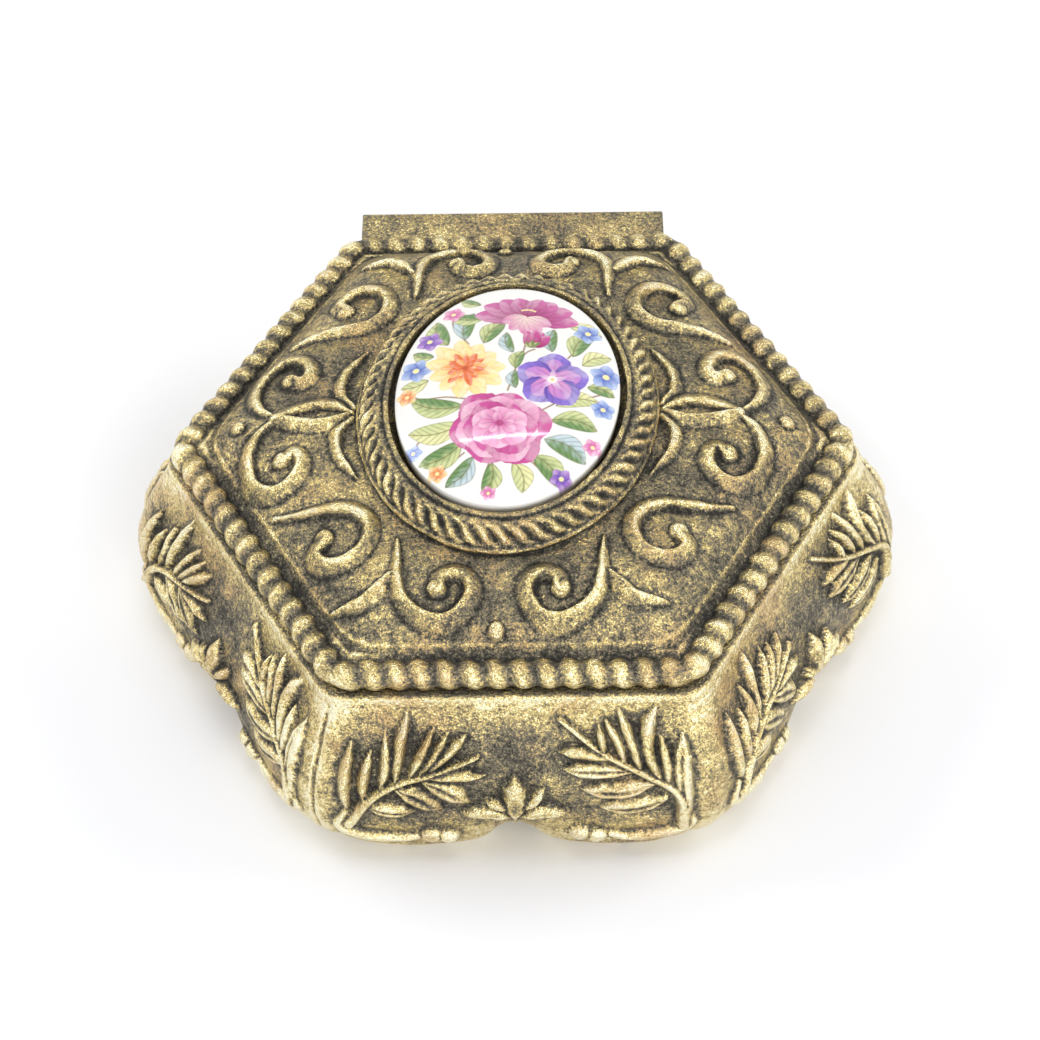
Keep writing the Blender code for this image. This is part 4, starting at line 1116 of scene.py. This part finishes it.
def paint_rose(art, cx, cy):
    """Full rose: broad outer petals, inner rounds that grow paler, and a pale cup with short strokes."""
    rounds = ((6, 7.0, 3.3, 0.25, ROSE_DEEP, ROSE), (7, 6.1, 2.9, 0.75, ROSE_DEEP, ROSE_PALE),
              (6, 5.0, 2.5, 0.15, ROSE_DEEP, ROSE), (6, 4.0, 2.1, 0.6, ROSE, ROSE_PALE))
    for count, reach, width, turn, root, tip in rounds:
        for number in range(count):
            angle = 2 * math.pi * number / count + turn
            length = reach * (0.94 + 0.08 * math.cos(3.7 * number))
            art.petal(cx, cy, angle, length, width, root, tip, 0.45, 1.1)
    for number in range(9):
        angle = 2.4 * number
        length = 3.1 - 0.2 * number
        width = 1.25 - 0.09 * number
        art.petal(cx + 0.5 * math.cos(angle), cy + 0.6, angle, length, width, ROSE, ROSE_PALE, 0.5, 1.1)
    art.dot(cx, cy + 0.6, 0.55, ROSE_DEEP, 0.8)


def paint_bell(art, cx, cy):
    """Plum flower seen from the side, with its petals fanned to both sides and pale hanging tips."""
    for angle, length in ((180, 7.2), (0, 7.0), (160, 6.6), (22, 6.4), (138, 5.4), (46, 5.2), (114, 4.6),
                          (70, 4.6)):
        art.petal(cx, cy, math.radians(angle), length, 1.75, PLUM, PLUM_PALE, 0.5, 1.0)
    for angle in (200, 232, 268, 304, 338):
        art.petal(cx, cy, math.radians(angle), 3.6, 1.1, (0.84, 0.66, 0.60), PLUM_PALE, 0.4, 1.0)
    for number in range(6):
        angle = math.radians(60 + 12 * number)
        art.dot(cx + 1.7 * math.cos(angle), cy + 1.7 * math.sin(angle), 0.17, LEMON)


def paint_bud(art, cx, cy):
    for angle in (70, 110, 50, 90):
        art.petal(cx, cy - 0.9, math.radians(angle), 3.2, 1.05, ROSE_DEEP, ROSE, 0.3)
    for angle in (50, 130, 90):
        art.leaf(cx, cy - 1.2, angle, 1.6, 0.36, LEAF_LIGHT, LEAF_DARK)


def make_porcelain(material):
    """Oval dome on a grid that is stretched from a square, with a chamfered edge and a flat back."""
    grid_u, grid_v = np.meshgrid(np.linspace(-1, 1, PORCELAIN_ACROSS), np.linspace(-1, 1, PORCELAIN_ALONG))
    disc_u = grid_u * np.sqrt(1 - grid_v ** 2 / 2)
    disc_v = grid_v * np.sqrt(1 - grid_u ** 2 / 2)
    part = unit(np.hypot(disc_u, disc_v))
    x, y = disc_u * OVAL_HALF_WIDTH, disc_v * OVAL_HALF_LENGTH
    top = on_oval(x, y, BEZEL_TOP + PORCELAIN_CROWN * (1 - part ** 2) ** 0.7).reshape(-1, 3)
    index = np.arange(len(top)).reshape(x.shape)
    faces = np.stack([index[:-1, :-1], index[:-1, 1:], index[1:, 1:], index[1:, :-1]], -1)
    faces = faces.reshape(-1, 4).tolist()
    rim = np.concatenate([index[0, :-1], index[:-1, -1], index[-1, :0:-1], index[:0:-1, 0]])
    vertices = top
    above = rim
    for inset, level in ((0.0, PORCELAIN_EDGE), (PORCELAIN_EDGE, 0.0)):
        ring = top[rim]
        out = ring[:, :2] - np.array([OVAL_SHIFT, 0])
        ring[:, :2] -= out * (inset / np.linalg.norm(out, axis=1, keepdims=True))
        ring[:, 2] = POCKET_FLOOR + SEAT_GAP + level
        below = len(vertices) + np.arange(len(rim))
        vertices = np.concatenate([vertices, ring])
        faces += np.stack([above, np.roll(above, -1), np.roll(below, -1), below], -1).tolist()
        above = below
    faces.append(above.tolist())
    mesh = bpy.data.meshes.new("painted_porcelain_oval")
    mesh.from_pydata(vertices.tolist(), [], faces)
    colors = np.ones((len(vertices), 4), np.float32)
    colors[:, :3] = GLAZE_WHITE
    colors[:len(top), :3] = paint_bouquet(x.ravel() / MM, y.ravel() / MM)
    mesh.attributes.new("paint", "FLOAT_COLOR", "POINT").data.foreach_set("color", colors.ravel())
    piece = smooth_object("painted_porcelain_oval", mesh)
    return dress(piece, material, "lid", "porcelain", "porcelain_cabochon")


# Linings

LINING_CORNER = 0.0015
PAD_ROUND = 0.0006
PAD_FOOT = 0.0002
BAND_THICK = 0.0012


def make_pad(name, node, body, up, material):
    """A velvet pad with rounded edges and a low crown, in the space of its solid node."""
    low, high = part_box(node)
    flat, thick = high.y, high.z - low.z
    edge = PAD_FOOT + 0.4 * thick
    columns = even_columns(240, flat, LINING_CORNER)
    rings = [outline(columns, flat - PAD_ROUND, LINING_CORNER - PAD_ROUND, 0.0),
             outline(columns, flat - 0.0001, LINING_CORNER, PAD_FOOT)]
    for turn in np.linspace(0, math.pi / 2, 5):
        inset = PAD_ROUND * (1 - math.cos(turn))
        height = PAD_FOOT + 0.4 * thick * math.sin(turn)
        rings.append(outline(columns, flat - inset, LINING_CORNER - inset, height))
    for part in np.linspace(0.97, 0.02, 34):
        crown = (thick - edge) * (1 - part ** 2.2)
        rings.append(outline(columns, (flat - PAD_ROUND) * part, LINING_CORNER * part * 0.6, edge + crown))
    points = np.array(rings)
    rise = unit((points[..., 2] - edge) / (thick - edge))
    points[..., 2] += roughness(points, [(110, 7, 0.00010)]) * rise * (1 - rise) * 4
    points[..., 2] = low.z + points[..., 2] if up else high.z - points[..., 2]
    pad = dress(closed_mesh(name, points), material, body, "velvet", node)
    return pad


def make_band(material):
    """The velvet-covered band round the walls, rounded over its top edge."""
    low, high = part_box("wall_lining_velvet")
    half = BAND_THICK / 2
    places = [(0, height) for height in np.linspace(low.z, high.z - half, 16)]
    for turn in np.linspace(math.pi / 8, math.pi * 7 / 8, 6):
        places.append((half * (1 - math.cos(turn)), high.z - half * (1 - math.sin(turn))))
    places += [(BAND_THICK, height) for height in np.linspace(high.z - half, low.z, 40)]
    columns = even_columns(360, high.y, LINING_CORNER)
    rings = [outline(columns, high.y - inset, LINING_CORNER - inset, height) for inset, height in places]
    band = closed_mesh("wall_velvet_band", np.array(rings), loop=True)
    dress(band, material, "base", "velvet", "wall_lining_velvet")
    return band


# Studio

CAMERA_PLACE = (0.0050, -0.2750, 0.3306)
CAMERA_YAW = math.radians(-0.88)
CAMERA_PITCH = math.radians(48.98)
CAMERA_ROLL = math.radians(-1.27)
CAMERA_LENS = 103.5
SENSOR = 36.0
LAMPS = [  # name, place, target, size, power
    ("window_left", (-0.66, 0.28, 0.58), (0, 0, 0.03), (0.45, 0.45), 2.3),
    ("ceiling_lamp", (0.0, -0.08, 0.90), (0, 0, 0.03), (0.35, 0.35), 1.7),
    ("window_right", (0.70, 0.20, 0.55), (0, 0, 0.03), (0.45, 0.45), 1.87),
    ("front_fill", (0.25, -0.7, 0.35), (0, 0, 0.02), (0.6, 0.3), 2.55),
    ("lamp_row", (-0.01, 0.43, 0.72), (0, -0.01, 0.042), (0.30, 0.008), 0.25),
]
FLOOR_REACH = 3.0
# The floor's colour darkens and cools towards the front, between these places along Y: painted shade
FLOOR_SHADE_GRADE = (-0.17, 0.02)
FLOOR_NEAR_PAINTED_SHADE, FLOOR_FAR = (0.800, 0.810, 0.880), (0.950, 0.955, 0.975)
ROOM_LIGHT = (0.25, 0.90, 0.89, 0.375)  # heights from and to, strengths there


def make_camera():
    data = bpy.data.cameras.new("photo_view")
    data.lens, data.sensor_width = CAMERA_LENS, SENSOR
    data.clip_start, data.clip_end = 0.01, 20
    camera = add_object("photo_view", data)
    camera.matrix_world = (
        Matrix.Translation(CAMERA_PLACE) @ Matrix.Rotation(-CAMERA_YAW, 4, "Z")
        @ Matrix.Rotation(math.pi / 2 - CAMERA_PITCH, 4, "X") @ Matrix.Rotation(CAMERA_ROLL, 4, "Z"))
    bpy.context.scene.camera = camera


def make_lamp(name, place, target, size, power):
    data = bpy.data.lights.new(name, "AREA")
    data.shape = "RECTANGLE"
    data.size, data.size_y = size
    data.energy = power
    lamp = add_object(name, data)
    lamp.location = place
    lamp.rotation_mode = "QUATERNION"
    lamp.rotation_quaternion = (Vector(target) - Vector(place)).to_track_quat("-Z", "Y")


def make_floor():
    mesh = bpy.data.meshes.new("studio_floor")
    corners = [(x * FLOOR_REACH, y * FLOOR_REACH, 0) for x, y in ((-1, -1), (1, -1), (1, 1), (-1, 1))]
    mesh.from_pydata(corners, [], [(0, 1, 2, 3)])
    made, nodes = new_material("pale_floor", 0.9)
    # The colour is graded along Y with a little noise, darker and cooler at the front as painted shade
    place = nodes.add("ShaderNodeTexCoord").outputs["Object"]
    ahead = nodes.add("ShaderNodeSeparateXYZ", {0: place}).outputs["Y"]
    ahead = nodes.math("ADD", ahead, nodes.span(nodes.noise(6, 2, 0.5), 0.3, 0.7, -0.02, 0.02))
    nodes.shade({"Base Color": nodes.mix(nodes.span(ahead, *FLOOR_SHADE_GRADE), FLOOR_NEAR_PAINTED_SHADE, FLOOR_FAR),
                 "Specular IOR Level": 0.1})
    mesh.materials.append(made)
    add_object("studio_floor", mesh)


def make_world():
    """A pale room all round, brighter about the table than overhead."""
    world = bpy.data.worlds.new("studio")
    bpy.context.scene.world = world
    world.use_nodes = True
    nodes = Nodes(world.node_tree)
    way = nodes.add("ShaderNodeTexCoord").outputs["Generated"]
    height = nodes.add("ShaderNodeSeparateXYZ", {0: way}).outputs["Z"]
    nodes.shade({"Color": (1, 1, 1), "Strength": nodes.span(height, *ROOM_LIGHT)}, "Background")


make_camera()
make_world()
make_floor()
for lamp in LAMPS:
    make_lamp(*lamp)
bpy.context.scene.view_settings.view_transform = "Standard"

gilt_casting = casting_material()
steel = steel_material()
card = card_material()
velvet = velvet_material()

make_lid(gilt_casting)
make_base(gilt_casting)
make_hinge(gilt_casting)
make_porcelain(porcelain_material())
make_pad("floor_velvet_pad", "floor_lining_velvet", "base", True, velvet)
make_pad("lid_velvet_pad", "lid_lining_velvet", "lid", False, velvet)
make_band(velvet)

for node, material in (("hinge_pin", steel), ("floor_lining_card", card), ("lid_lining_card", card)):
    thing = frame["nodes"][node]
    thing.data.materials.clear()
    thing.data.materials.append(material)
